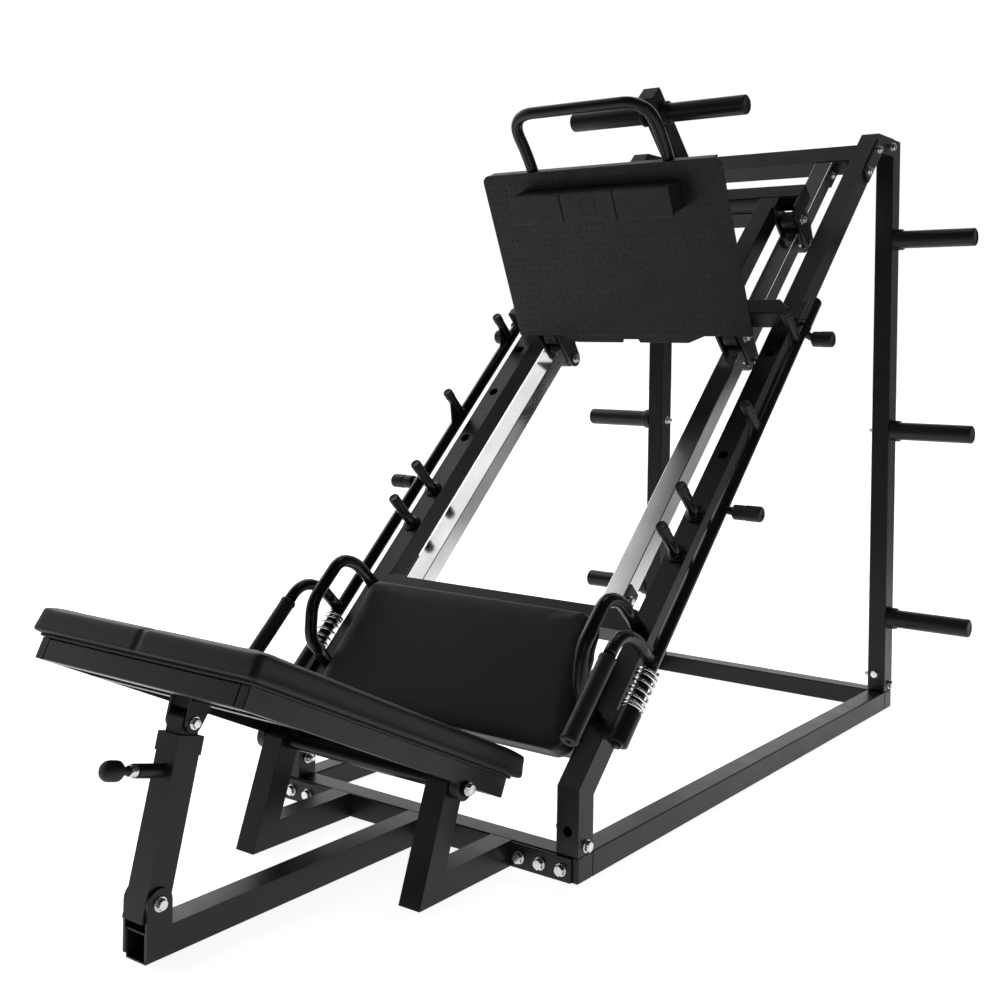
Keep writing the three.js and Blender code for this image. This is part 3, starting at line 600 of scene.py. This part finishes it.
def add_rollers():
    for height in ROLLER_HEIGHTS:
        for place in ROLLER_PLACES:
            for side, _ in SIDES:
                node = f"roller_{height}_{place}_{side}"
                low, high = span(node, RAIL)
                centre = (low + high) / 2
                radius = (high.y - low.y) / 2
                width = high.x - low.x
                start = (low.x, centre.y, centre.z)
                bore = ROLLER_BORE
                tyre = Shape().turned(
                    [(17, 2), (18, 0.6), (radius - 3, 0), (radius - 0.6, 1.4), (radius, 3.5), (radius, width - 3.5),
                     (radius - 0.6, width - 1.4), (radius - 3, width), (18, width - 0.6), (17, width - 2), (17, 2)],
                    start, (1, 0, 0), 56)
                single(f"{node}_tyre", tyre, RAIL, node, "nylon", 0.0, [node])
                bearing = Shape().turned(
                    [(bore, 2.5), (11, 2.5), (11.6, 3.2), (14.6, 3.2), (15.2, 2.5), (17, 2.5), (17, width - 2.5),
                     (15.2, width - 2.5), (14.6, width - 3.2), (11.6, width - 3.2), (11, width - 2.5),
                     (bore, width - 2.5), (bore, 2.5)], start, (1, 0, 0), 40)
                single(f"{node}_bearing", bearing, RAIL, node, "steel")


add_rollers()

# ------------------------------------------------------------------ grab handles
GRAB_X = 362
GRAB_RADIUS = 14
GRAB_LOW_S = 146
GRAB_HIGH_S = 362
GRAB_TOP_N = 142
GRAB_BEND = 26


def add_grab_handles():
    line = [(GRAB_HIGH_S, 0.6), (GRAB_HIGH_S - 2, 95), (GRAB_HIGH_S - 30, GRAB_TOP_N),
            (GRAB_LOW_S + 66, GRAB_TOP_N), (GRAB_LOW_S + 4, 88), (GRAB_LOW_S, 0.6)]
    handle = Shape().tube(rounded_path([(GRAB_X, *point) for point in line], GRAB_BEND), GRAB_RADIUS)
    for s in (GRAB_LOW_S, GRAB_HIGH_S):
        handle.weld((GRAB_X, s, 0.3), (0, 0, 1), GRAB_RADIUS, 3)
    pair("grab_handle_{}_tube", handle, RAIL, "frame", "gloss", 0.0, ["grab_handle_{}"])


add_grab_handles()

# ------------------------------------------------------------------ foot plate with its raised lozenges
PLATE_HALF_WIDTH = 344
PLATE_LENGTH = 442
PLATE_THICKNESS = 6
LIP_HALF_WIDTH = 215
LIP_DROP = 19
LOZENGE_PITCH = 17.0
LOZENGE_HALF_LENGTH = 6.8
LOZENGE_HALF_WIDTH = 2.1
LOZENGE_HEIGHT = 0.7
PLATE_CORNER = 20
FLANGE_DEPTH = 28
BADGE_HALVES = (19, 21.5)  # inside and outside of the square outline on the calf block


def lozenge(shape, x, y, turn):
    """A raised lens of metal at x, y, its length turned by `turn`."""
    points = []
    steps = 4
    for end in (1, -1):
        for i in range(steps):
            t = -1 + 2 * i / steps
            points.append((end * t * LOZENGE_HALF_LENGTH, end * LOZENGE_HALF_WIDTH * (t * t - 1)))
    cos, sin = math.cos(turn), math.sin(turn)

    def corner(px, py, height):
        return shape.mesh.verts.new((x + px * cos - py * sin, y + px * sin + py * cos, height))

    rings = []
    for share, height in ((1.0, -0.2), (0.86, LOZENGE_HEIGHT * 0.75), (0.55, LOZENGE_HEIGHT)):
        rings.append([corner(px * share, py * share, height) for px, py in points])
    shape.bridge(rings[0], rings[1])
    shape.bridge(rings[1], rings[2])
    shape.mesh.faces.new(rings[2])
    shape.mesh.faces.new(list(reversed(rings[0])))


def add_foot_plate():
    half, length, thick = PLATE_HALF_WIDTH, PLATE_LENGTH, PLATE_THICKNESS
    corner = PLATE_CORNER
    outline = [(-half, 0), (half, 0), *arc((half - corner, length - corner), corner, 0, 90),
               *arc((corner - half, length - corner), corner, 90, 180)]
    sheet = Shape().slab(outline, -thick, 0, 2)
    single("foot_plate_sheet", sheet, PLATE, "sled", "tread", 1.2, ["foot_plate"])
    flange = Shape().box((corner - half, half - corner), (length - thick + 1, length - 0.2),
                         (-FLANGE_DEPTH, -thick + 0.5))
    single("foot_plate_flange", flange, PLATE, "sled", "tread", 1.2)
    right = [(26, -LIP_DROP), (LIP_HALF_WIDTH - 50, -LIP_DROP), (LIP_HALF_WIDTH, 0), (LIP_HALF_WIDTH, 4)]
    lip = Shape().slab([*mirror_line(right), (-22, 9 - LIP_DROP), (22, 9 - LIP_DROP), *right], -thick, -2, 2)
    single("foot_plate_lip", lip, PLATE, "sled", "tread", 0.8)

    block_low, block_high = span("calf_block", PLATE)
    tread = Shape()
    columns = int(2 * half / LOZENGE_PITCH)
    rows = int(length / LOZENGE_PITCH)
    for column in range(columns):
        for row in range(rows):
            x = (column - (columns - 1) / 2) * LOZENGE_PITCH
            y = length / 2 + (row - (rows - 1) / 2) * LOZENGE_PITCH
            under_block = abs(x) < block_high.x + 11 and block_low.y - 11 < y < block_high.y + 11
            if not under_block:
                lozenge(tread, x, y, math.radians(45 if (column + row) % 2 else -45))
    single("foot_plate_tread", tread, PLATE, "sled", "tread")

    # The calf block: a moulded bar in three panels, the middle one with a plain raised square outline.
    x0, x1 = block_low.x, block_high.x
    y0, y1 = block_low.y, block_high.y
    front = block_high.z
    core = Shape().box((x0 + 2, x1 - 2), (y0 + 2, y1 - 2), (block_low.z, front - 3))
    single("calf_block_core", core, PLATE, "sled", "rubber", 4.0, ["calf_block"])
    third = (x1 - x0) / 3
    panels = Shape()
    for i in range(3):
        left = x0 + third * i + (0 if i == 0 else 1.2)
        right = x0 + third * (i + 1) - (0 if i == 2 else 1.2)
        panels.box((left, right), (y0, y1), (front - 9, front))
    single("calf_block_panels", panels, PLATE, "sled", "rubber", 2.4)
    badge = Shape()
    middle_y = (y0 + y1) / 2
    inner, outer = BADGE_HALVES
    depth = (front - 1, front + 0.9)
    for sign in (1, -1):
        badge.box((-outer, outer), sorted((middle_y + sign * inner, middle_y + sign * outer)), depth)
        badge.box(sorted((sign * inner, sign * outer)), (middle_y - inner, middle_y + inner), depth)
    single("calf_block_frame", badge, PLATE, "sled", "rubber", 0.4)


add_foot_plate()

# ------------------------------------------------------------------ the stand behind the foot plate, the sled handle
HORN_N = 380
HORN_REACH = 260
MAST_HALF = 25
MAST_TOP_N = 445
SPREADER_S = 1618
BRACE_PLATE = (275, 330)  # where the brace meets the plate, measured up it
BRACE_MAST_N = (170, 225)
PLATE_BACK = -6.6


def plate_point(up, out):
    """A point of the foot plate's frame in the rail frame, as (s, n)."""
    lean = math.radians(PLATE_LEAN)
    return (PLATE_AT.y + up * math.sin(lean) - out * math.cos(lean),
            PLATE_AT.z + up * math.cos(lean) + out * math.sin(lean))


def add_sled_stand():
    low, high = span("sled_stand", RAIL)
    mast_s = (high.y - 2 * MAST_HALF, high.y)
    middle = high.y - MAST_HALF
    top_low, top_high = span("sled_top_cross", RAIL)
    mast = Shape().box((-MAST_HALF, MAST_HALF), mast_s, (top_low.z + 2, MAST_TOP_N - 3))
    single("sled_mast", mast, RAIL, "sled", "coat", 3.2, ["sled_stand"])
    plug = Shape().slab([(-MAST_HALF + 0.6, mast_s[0] + 0.6), (MAST_HALF - 0.6, mast_s[0] + 0.6),
                         (MAST_HALF - 0.6, mast_s[1] - 0.6), (-MAST_HALF + 0.6, mast_s[1] - 0.6)],
                        MAST_TOP_N - 3.2, MAST_TOP_N, 2)
    single("sled_mast_plug", plug, RAIL, "sled", "rubber", 1.8)
    left_x = span("sled_side_left", RAIL)[1].x + 0.3
    spreader = Shape().box((left_x, -left_x), (SPREADER_S, mast_s[0] - 0.3), (top_low.z, top_high.z))
    single("sled_spreader", spreader, RAIL, "sled", "coat", 3.0)
    inside_mast = mast_s[0] + 4
    brace = Shape().slab([plate_point(BRACE_PLATE[0], PLATE_BACK), (inside_mast, BRACE_MAST_N[0]),
                          (inside_mast, BRACE_MAST_N[1]), plate_point(BRACE_PLATE[1], PLATE_BACK)],
                         -MAST_HALF + 1, MAST_HALF - 1)
    single("sled_brace", brace, RAIL, "sled", "coat", 3.0)
    horns, plugs = Shape(), Shape()
    for sign in (1, -1):
        start = (sign * MAST_HALF, middle, HORN_N)
        reach = HORN_REACH - MAST_HALF
        horns.turned([(0, 0), (30.2, 0), (31, 0.8), (31, 11), (29.8, 12.6), (PEG_RADIUS + 1, 13), (PEG_RADIUS, 14),
                      (PEG_RADIUS, reach - 5), (PEG_RADIUS - 1, reach - 4), (0, reach - 4)], start, (sign, 0, 0), 48)
        horns.weld((sign * (MAST_HALF + 12.5), middle, HORN_N), (sign, 0, 0), PEG_RADIUS, 3)
        end = (sign * (HORN_REACH - 4.4), middle, HORN_N)
        plugs.turned([(0, 0), (24.6, 0), (24.8, 1), (23.8, 2.6), (21, 4.4), (18, 4.4), (16, 3.4), (0, 3)],
                     end, (sign, 0, 0), 48)
    single("weight_horns", horns, RAIL, "sled", "coat")
    single("weight_horn_plugs", plugs, RAIL, "sled", "rubber")


HANDLE_X = 197
HANDLE_RADIUS = 14.5
HANDLE_TOP = (1363, 613)
HANDLE_BEND = 70


def add_sled_handle():
    behind = -PLATE_THICKNESS - HANDLE_RADIUS - 5
    base = plate_point(PLATE_LENGTH - 80, behind)
    knee = plate_point(PLATE_LENGTH + 12, behind)
    leg = (base, knee, HANDLE_TOP)
    corners = [(-HANDLE_X, *point) for point in leg] + [(HANDLE_X, *point) for point in reversed(leg)]
    handle = Shape().tube(rounded_path(corners, HANDLE_BEND, 16), HANDLE_RADIUS, 28)
    single("sled_handle_tube", handle, RAIL, "sled", "gloss", 0.0, ["sled_handle"])


add_sled_stand()
add_sled_handle()

# ------------------------------------------------------------------ backrest pivot, adjusting pin
PIN_U = 203


def add_pivot():
    low, high = span("pivot_shaft", MACHINE)
    centre = ((low.y + high.y) / 2, (low.z + high.z) / 2)
    radius = (high.z - low.z) / 2
    length = high.x - low.x
    shaft = Shape().turned([(0, 0), (radius - 1, 0), (radius, 1), (radius, length - 1), (radius - 1, length),
                            (0, length)], (low.x, *centre), (1, 0, 0), 40)
    single("pivot_shaft_bar", shaft, MACHINE, "backrest", "gloss", 0.0, ["pivot_shaft"])
    ends = Shape()
    for sign in (1, -1):
        ends.bolt((sign * high.x, *centre), (sign, 0, 0), 19, 8, 12.3)
    single("pivot_shaft_bolts", ends, MACHINE, "backrest", "steel", 0.3)


def add_adjusting_pin():
    knob = Shape().turned(
        [(0, 92), (8.5, 92), (8.5, 94), (7, 96), (7, 107), (10, 108.5), (14, 110.5), (16.4, 114), (17, 119),
         (17, 130), (16.2, 136), (13, 141), (9, 143.4), (4, 144), (0, 144.2)], (0, 0, PIN_U), (0, -1, 0), 48)
    single("adjust_pin_knob", knob, POST, "locking_pin", "rubber", 0.0, ["adjust_pin"])
    plunger = Shape().turned([(0, 19.4), (5, 21.4), (5, 80), (0, 80)], (0, 0, PIN_U), (0, -1, 0), 24)
    plunger.turned([(0, 80.5), (11.4, 80.5), (12, 81.2), (12, 84), (11.2, 85), (11.2, 89), (9.5, 92.5), (0, 92.5)],
                   (0, 0, PIN_U), (0, -1, 0), 36)
    single("adjust_pin_plunger", plunger, POST, "locking_pin", "steel")


add_pivot()
add_adjusting_pin()

# ------------------------------------------------------------------ bolts
SIDE_X = 395
INNER_X = 345
FLANGE_FACE_Y = -5.6
FRONT_BOLT_X = (262, 311, 360)
SIDE_BOLTS = ((27, 66), (1581, 66), (1536, 1591))  # y, z
INNER_NUTS = ((1578, 787), (1575, 90), (27, 90))  # y, z
GUSSET_X = (395.4, 400.4)
GUSSET_BOLT_S = (1896, 1990)
FORK_BOLT_N = 17  # above the fork's lowest point
AXLE_S = (1199, 1643)
AXLE_N = (20.5, -64.5)
GUIDE_BOLT_S = (438, 1884)
GUIDE_BOLT_N = -22


def add_bolts():
    flanges = Shape()
    flanges.box((241, 382), (FLANGE_FACE_Y, -0.6), (1, 48))
    pair("front_flange_{}", flanges, MACHINE, "frame", "coat", 1.2)
    front = Shape()
    for x in FRONT_BOLT_X:
        front.bolt((x, FLANGE_FACE_Y, 23), (0, -1, 0), 19, 8)
    pair("front_bolts_{}", front, MACHINE, "frame", "steel", 0.4)

    side = Shape()
    for y, z in SIDE_BOLTS:
        side.bolt((SIDE_X, y, z), (1, 0, 0), 19, 8)
    side.bolt((365.7, 1550, 97), (0, -1, 0), 19, 8)
    pair("side_bolts_{}", side, MACHINE, "frame", "steel", 0.4)

    inner = Shape()
    for y, z in INNER_NUTS:
        inner.nut((INNER_X, y, z), (-1, 0, 0))
    pair("inner_nuts_{}", inner, MACHINE, "frame", "steel", 0.3)

    gusset = Shape().slab([(1872, -46), (1872, -4), (2010, -4), (2026, -18), (2026, -46)], *GUSSET_X)
    pair("top_gusset_{}", gusset, RAIL, "frame", "coat", 1.2)
    gusset_bolts = Shape()
    for s in GUSSET_BOLT_S:
        gusset_bolts.bolt((GUSSET_X[1], s, -25), (1, 0, 0), 17, 7)
    pair("top_gusset_bolts_{}", gusset_bolts, RAIL, "frame", "steel", 0.4)

    post_bolts = Shape()
    for sign in (1, -1):
        post_bolts.bolt((sign * 31, 0, 0), (sign, 0, 0), 17, 7)
    single("post_base_bolts", post_bolts, POST, "frame", "steel", 0.4)

    fork = Shape()
    fork_low, fork_high = span("adjust_fork", BACK)
    fork_centre = ((fork_low.y + fork_high.y) / 2, fork_low.z + FORK_BOLT_N)
    for sign in (1, -1):
        fork.bolt((sign * 27.5, *fork_centre), (sign, 0, 0), 15, 6, 11)
    single("adjust_fork_bolts", fork, BACK, "backrest", "steel", 0.4)

    axle_nuts = Shape()
    for s in AXLE_S:
        for n in AXLE_N:
            axle_nuts.nut((301.4, s, n), (1, 0, 0), 17, 4)
    pair("axle_nuts_{}", axle_nuts, RAIL, "sled", "steel", 0.3)
    heads = Shape()
    for s in AXLE_S:
        heads.bolt((234.6, s, AXLE_N[1]), (-1, 0, 0), 17, 7)
    pair("axle_heads_{}", heads, RAIL, "sled", "steel", 0.3)

    rail_bolts = Shape()
    for s in GUIDE_BOLT_S:
        rail_bolts.bolt((299.3, s, GUIDE_BOLT_N), (1, 0, 0), 15, 6, 11)
    for x in (312, 330):
        rail_bolts.bolt((x, 408, GUIDE_BOLT_N), (0, 1, 0), 13, 5, 8)
    pair("guide_rail_bolts_{}", rail_bolts, RAIL, "frame", "steel", 0.3)


add_bolts()


# ------------------------------------------------------------------ pads
# Lengths are in metres here, because the pads are worked on as finished meshes.
PAD_VOXEL = 0.006
CLOTH_FRAMES = 20
CLOTH_PRESSURE = 4.0
HELD_DEPTH = 0.007
BACKREST_CROWN = 0.0045
SEAT_CROWN = 0.0030
SEAM_DEPTH = 0.0040
SEAM_WIDTH = 0.0050


def voxel_copy(mesh, name, voxel):
    """A closed, evenly meshed copy of a mesh."""
    rough = bpy.data.objects.new(name + "_rough", mesh)
    bpy.context.scene.collection.objects.link(rough)
    remesh = rough.modifiers.new("voxels", "REMESH")
    remesh.mode = "VOXEL"
    remesh.voxel_size = voxel
    remesh.use_smooth_shade = True
    graph = bpy.context.evaluated_depsgraph_get()
    made = bpy.data.meshes.new_from_object(rough.evaluated_get(graph))
    bpy.data.objects.remove(rough)
    made.name = name
    return made


def swell(pad, pressure, most, held):
    """Blows the pad up as cloth. `held` says which points stay put, and no point moves further than `most`."""
    scene = bpy.context.scene
    group = pad.vertex_groups.new(name="held")
    group.add([v.index for v in pad.data.vertices if held(v.co)], 1.0, "REPLACE")
    cloth = pad.modifiers.new("cloth", "CLOTH")
    settings = cloth.settings
    settings.quality = 4
    settings.mass = 0.4
    settings.use_pressure = True
    settings.uniform_pressure_force = pressure
    settings.vertex_group_mass = "held"
    settings.tension_stiffness = 18
    settings.compression_stiffness = 18
    settings.bending_stiffness = 1.0
    settings.effector_weights.gravity = 0
    cloth.point_cache.frame_start = 1
    cloth.point_cache.frame_end = CLOTH_FRAMES
    for number in range(1, CLOTH_FRAMES + 1):
        scene.frame_set(number)
    graph = bpy.context.evaluated_depsgraph_get()
    blown = bpy.data.meshes.new_from_object(pad.evaluated_get(graph))
    for vertex, after in zip(pad.data.vertices, blown.vertices):
        move = after.co - vertex.co
        if move.length > most:
            move *= most / move.length
        vertex.co += move
    pad.modifiers.remove(cloth)
    pad.vertex_groups.clear()
    bpy.data.meshes.remove(blown)
    scene.frame_set(1)


def relax(mesh, rounds):
    """Evens out the steps that a voxel mesh leaves."""
    work = bmesh.new()
    work.from_mesh(mesh)
    for _ in range(rounds):
        bmesh.ops.smooth_vert(work, verts=work.verts[:], factor=0.5,
                              use_axis_x=True, use_axis_y=True, use_axis_z=True)
    work.to_mesh(mesh)
    work.free()


def make_pad(name, shape, back_z, crown):
    """A pad, still in its own frame, whose back at z = back_z rests flat and whose points swell at most `crown`."""
    mesh = to_mesh(name, shape, Matrix.Identity(4))
    even = voxel_copy(mesh, name, PAD_VOXEL)
    pad = bpy.data.objects.new(name, even)
    bpy.context.scene.collection.objects.link(pad)
    back = back_z * MM
    relax(even, 2)
    swell(pad, CLOTH_PRESSURE, crown, lambda co: co.z < back + HELD_DEPTH)
    relax(even, 2)
    for vertex in even.vertices:
        vertex.co.z = max(vertex.co.z, back)
    return pad, even


def place_pad(pad, even, place, body, node):
    even.transform(place)
    pad.data.materials.clear()
    pad.data.materials.append(MATERIALS["vinyl"])
    even.shade_smooth()
    fine = pad.modifiers.new("fine", "SUBSURF")
    fine.render_levels = 1
    fine.levels = 1
    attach(pad, body)
    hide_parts(node)


def rounded_rectangle(low, high, radius, steps=6):
    """An outline with four round corners."""
    corners = (((high[0] - radius, high[1] - radius), 0), ((low[0] + radius, high[1] - radius), 90),
               ((low[0] + radius, low[1] + radius), 180), ((high[0] - radius, low[1] + radius), 270))
    return [point for centre, start in corners for point in arc(centre, radius, start, start + 90, steps)]


def groove(mesh, outward, only):
    """Sinks a sewn channel along the middle of the mesh, x = 0, against `outward`, where `only` allows it."""
    for vertex in mesh.vertices:
        if only(vertex.co):
            d = vertex.co.x / SEAM_WIDTH
            vertex.co -= outward * SEAM_DEPTH * math.exp(-d * d)


def add_pads():
    # Backrest: a long boxed pad with a seam down its middle that ends at the foot of the head end.
    low, high = span("backrest_pad", BACK)
    outline = rounded_rectangle((low.x + 1, low.y + 1), (high.x - 1, high.y - 1), 16)
    body = Shape().slab(outline, low.z, high.z - 6, 2)
    pad, even = make_pad("backrest_cushion", body, low.z, BACKREST_CROWN)
    top = (high.z - 16) * MM
    head = (low.y + 22) * MM
    groove(even, Vector((0, 0, 1)), lambda co: co.z > top)
    groove(even, Vector((0, -1, 0)), lambda co: co.y < head)
    place_pad(pad, even, BACK, "backrest", "backrest_pad")

    # Seat: narrower at its top, with wide round corners.
    low, high = span("seat_pad", SEAT)
    corner, bottom = 30, high.x
    top = bottom - 30
    right = [*arc((bottom - corner, low.y + corner), corner, -90, 0, 8),
             *arc((top - corner, high.y + 6 - corner), corner, 0, 90, 8)]
    body = Shape().slab([*right, *mirror_line(right)], low.z, high.z - 1, 2)
    pad, even = make_pad("seat_cushion", body, low.z, SEAT_CROWN)
    place_pad(pad, even, SEAT, "frame", "seat_pad")


add_pads()

# ------------------------------------------------------------------ floor, camera and light
FLOOR_SIZE = 60
FLOOR_GLOW = 0.90
FLOOR_FAR_GLOW = 0.05
FLOOR_FADE = (2.0, 4.5)  # metres from the machine over which the glow falls, except to the camera
CAMERA_TURN = (35.7001, 0.0400, 0.9476)  # yaw, pitch and roll, in degrees
CAMERA_AT = (1.746821, FRONT_Y - 2.030711, 0.991053)
CAMERA_SENSOR = 36
CAMERA_LENS = 1.30674  # in sensor widths
CAMERA_SHIFT = (-0.03973, -0.14517)


def add_floor():
    mesh = bpy.data.meshes.new("studio_floor")
    half = FLOOR_SIZE / 2
    mesh.from_pydata([(-half, -half, 0), (half, -half, 0), (half, half, 0), (-half, half, 0)], [], [(0, 1, 2, 3)])
    floor = bpy.data.objects.new("studio_floor", mesh)
    bpy.context.scene.collection.objects.link(floor)
    nodes = Nodes("pale_floor")
    nodes.colours(nodes.noise(0.8, 3), (0.90, 0.90, 0.90), (0.93, 0.93, 0.93))
    nodes.shader.inputs["Roughness"].default_value = 0.6
    nodes.shader.inputs["Specular IOR Level"].default_value = 0.2
    nodes.shader.inputs["Emission Color"].default_value = (1, 1, 1, 1)
    # White to the camera, but lit only near the machine, so that its far reflections are dark.
    distance = nodes.add("ShaderNodeVectorMath", operation="LENGTH")
    nodes.link(nodes.coordinates, distance.inputs[0])
    near = nodes.ranged(distance.outputs["Value"], FLOOR_GLOW, FLOOR_FAR_GLOW, *FLOOR_FADE)
    seen = nodes.add("ShaderNodeMix", data_type="FLOAT")
    nodes.link(nodes.add("ShaderNodeLightPath").outputs["Is Camera Ray"], seen.inputs["Factor"])
    nodes.link(near, seen.inputs["A"])
    seen.inputs["B"].default_value = FLOOR_GLOW
    nodes.link(seen.outputs["Result"], nodes.shader.inputs["Emission Strength"])
    mesh.materials.append(nodes.material)
    floor.location.z = -0.0004


def add_camera():
    yaw, pitch, roll = (math.radians(a) for a in CAMERA_TURN)
    forward = Vector((-math.sin(yaw) * math.cos(pitch), math.cos(yaw) * math.cos(pitch), -math.sin(pitch)))
    level = Vector((math.cos(yaw), math.sin(yaw), 0))
    upright = level.cross(forward)
    right = level * math.cos(roll) + upright * math.sin(roll)
    up = upright * math.cos(roll) - level * math.sin(roll)
    data = bpy.data.cameras.new("camera")
    data.sensor_width = CAMERA_SENSOR
    data.lens = CAMERA_LENS * data.sensor_width
    data.shift_x, data.shift_y = CAMERA_SHIFT
    camera = bpy.data.objects.new("camera", data)
    bpy.context.scene.collection.objects.link(camera)
    basis = Matrix((right, up, -forward)).transposed().to_4x4()
    camera.matrix_world = Matrix.Translation(CAMERA_AT) @ basis
    bpy.context.scene.camera = camera


def add_light(name, location, target, size, power):
    """A square area light that the camera doesn't see."""
    data = bpy.data.lights.new(name, "AREA")
    data.shape = "RECTANGLE"
    data.size = data.size_y = size
    data.energy = power
    light = bpy.data.objects.new(name, data)
    bpy.context.scene.collection.objects.link(light)
    light.location = location
    light.rotation_mode = "QUATERNION"
    light.rotation_quaternion = (Vector(target) - Vector(location)).to_track_quat("-Z", "Y")
    light.visible_camera = False


WINDOW_SIDE = (-0.85, 0.50, 0.0)
WINDOW_FALL = (0.18, 0.40, 0.05, 1.1)  # from and to, then what they become: dim away from the window, bright at it
OVERHEAD_FALL = (0.82, 0.87, 1.0, 0.05)  # full up to there, dim straight overhead
SEEN_WHITE = 1.02


def add_world():
    """White all round to the camera; as light, bright at the far left and dim elsewhere and overhead."""
    world = bpy.data.worlds.new("studio")
    bpy.context.scene.world = world
    world.use_nodes = True
    tree = world.node_tree
    tree.nodes.clear()
    direction = tree.nodes.new("ShaderNodeTexCoord").outputs["Generated"]
    split = tree.nodes.new("ShaderNodeSeparateXYZ")
    tree.links.new(direction, split.inputs["Vector"])
    strength = tree.nodes.new("ShaderNodeMath")
    strength.operation = "MULTIPLY"
    side = tree.nodes.new("ShaderNodeVectorMath")
    side.operation = "DOT_PRODUCT"
    side.inputs[1].default_value = WINDOW_SIDE
    tree.links.new(direction, side.inputs[0])
    falls = ((side.outputs["Value"], WINDOW_FALL), (split.outputs["Z"], OVERHEAD_FALL))
    for socket, (value, numbers) in enumerate(falls):
        fall = tree.nodes.new("ShaderNodeMapRange")
        for key, number in zip(("From Min", "From Max", "To Min", "To Max"), numbers):
            fall.inputs[key].default_value = number
        tree.links.new(value, fall.inputs["Value"])
        tree.links.new(fall.outputs["Result"], strength.inputs[socket])
    lit = tree.nodes.new("ShaderNodeBackground")
    tree.links.new(strength.outputs["Value"], lit.inputs["Strength"])
    seen = tree.nodes.new("ShaderNodeBackground")
    for background in (lit, seen):
        background.inputs["Color"].default_value = (1, 1, 1, 1)
    seen.inputs["Strength"].default_value = SEEN_WHITE
    path = tree.nodes.new("ShaderNodeLightPath")
    mix = tree.nodes.new("ShaderNodeMixShader")
    tree.links.new(path.outputs["Is Camera Ray"], mix.inputs["Fac"])
    tree.links.new(lit.outputs["Background"], mix.inputs[1])
    tree.links.new(seen.outputs["Background"], mix.inputs[2])
    out = tree.nodes.new("ShaderNodeOutputWorld")
    tree.links.new(mix.outputs["Shader"], out.inputs["Surface"])


add_floor()
add_camera()
add_light("key", (-3.2, 0.9, 2.8), (0, 0, 0.7), 2.0, 26)
add_light("fill", (3.4, -2.4, 2.0), (0, 0.2, 0.7), 1.6, 5)
add_light("top", (0.4, 0.8, 4.2), (0, 0, 0), 1.8, 14)
add_world()
scene = bpy.context.scene
scene.view_settings.view_transform = "Standard"
scene.view_settings.look = "None"
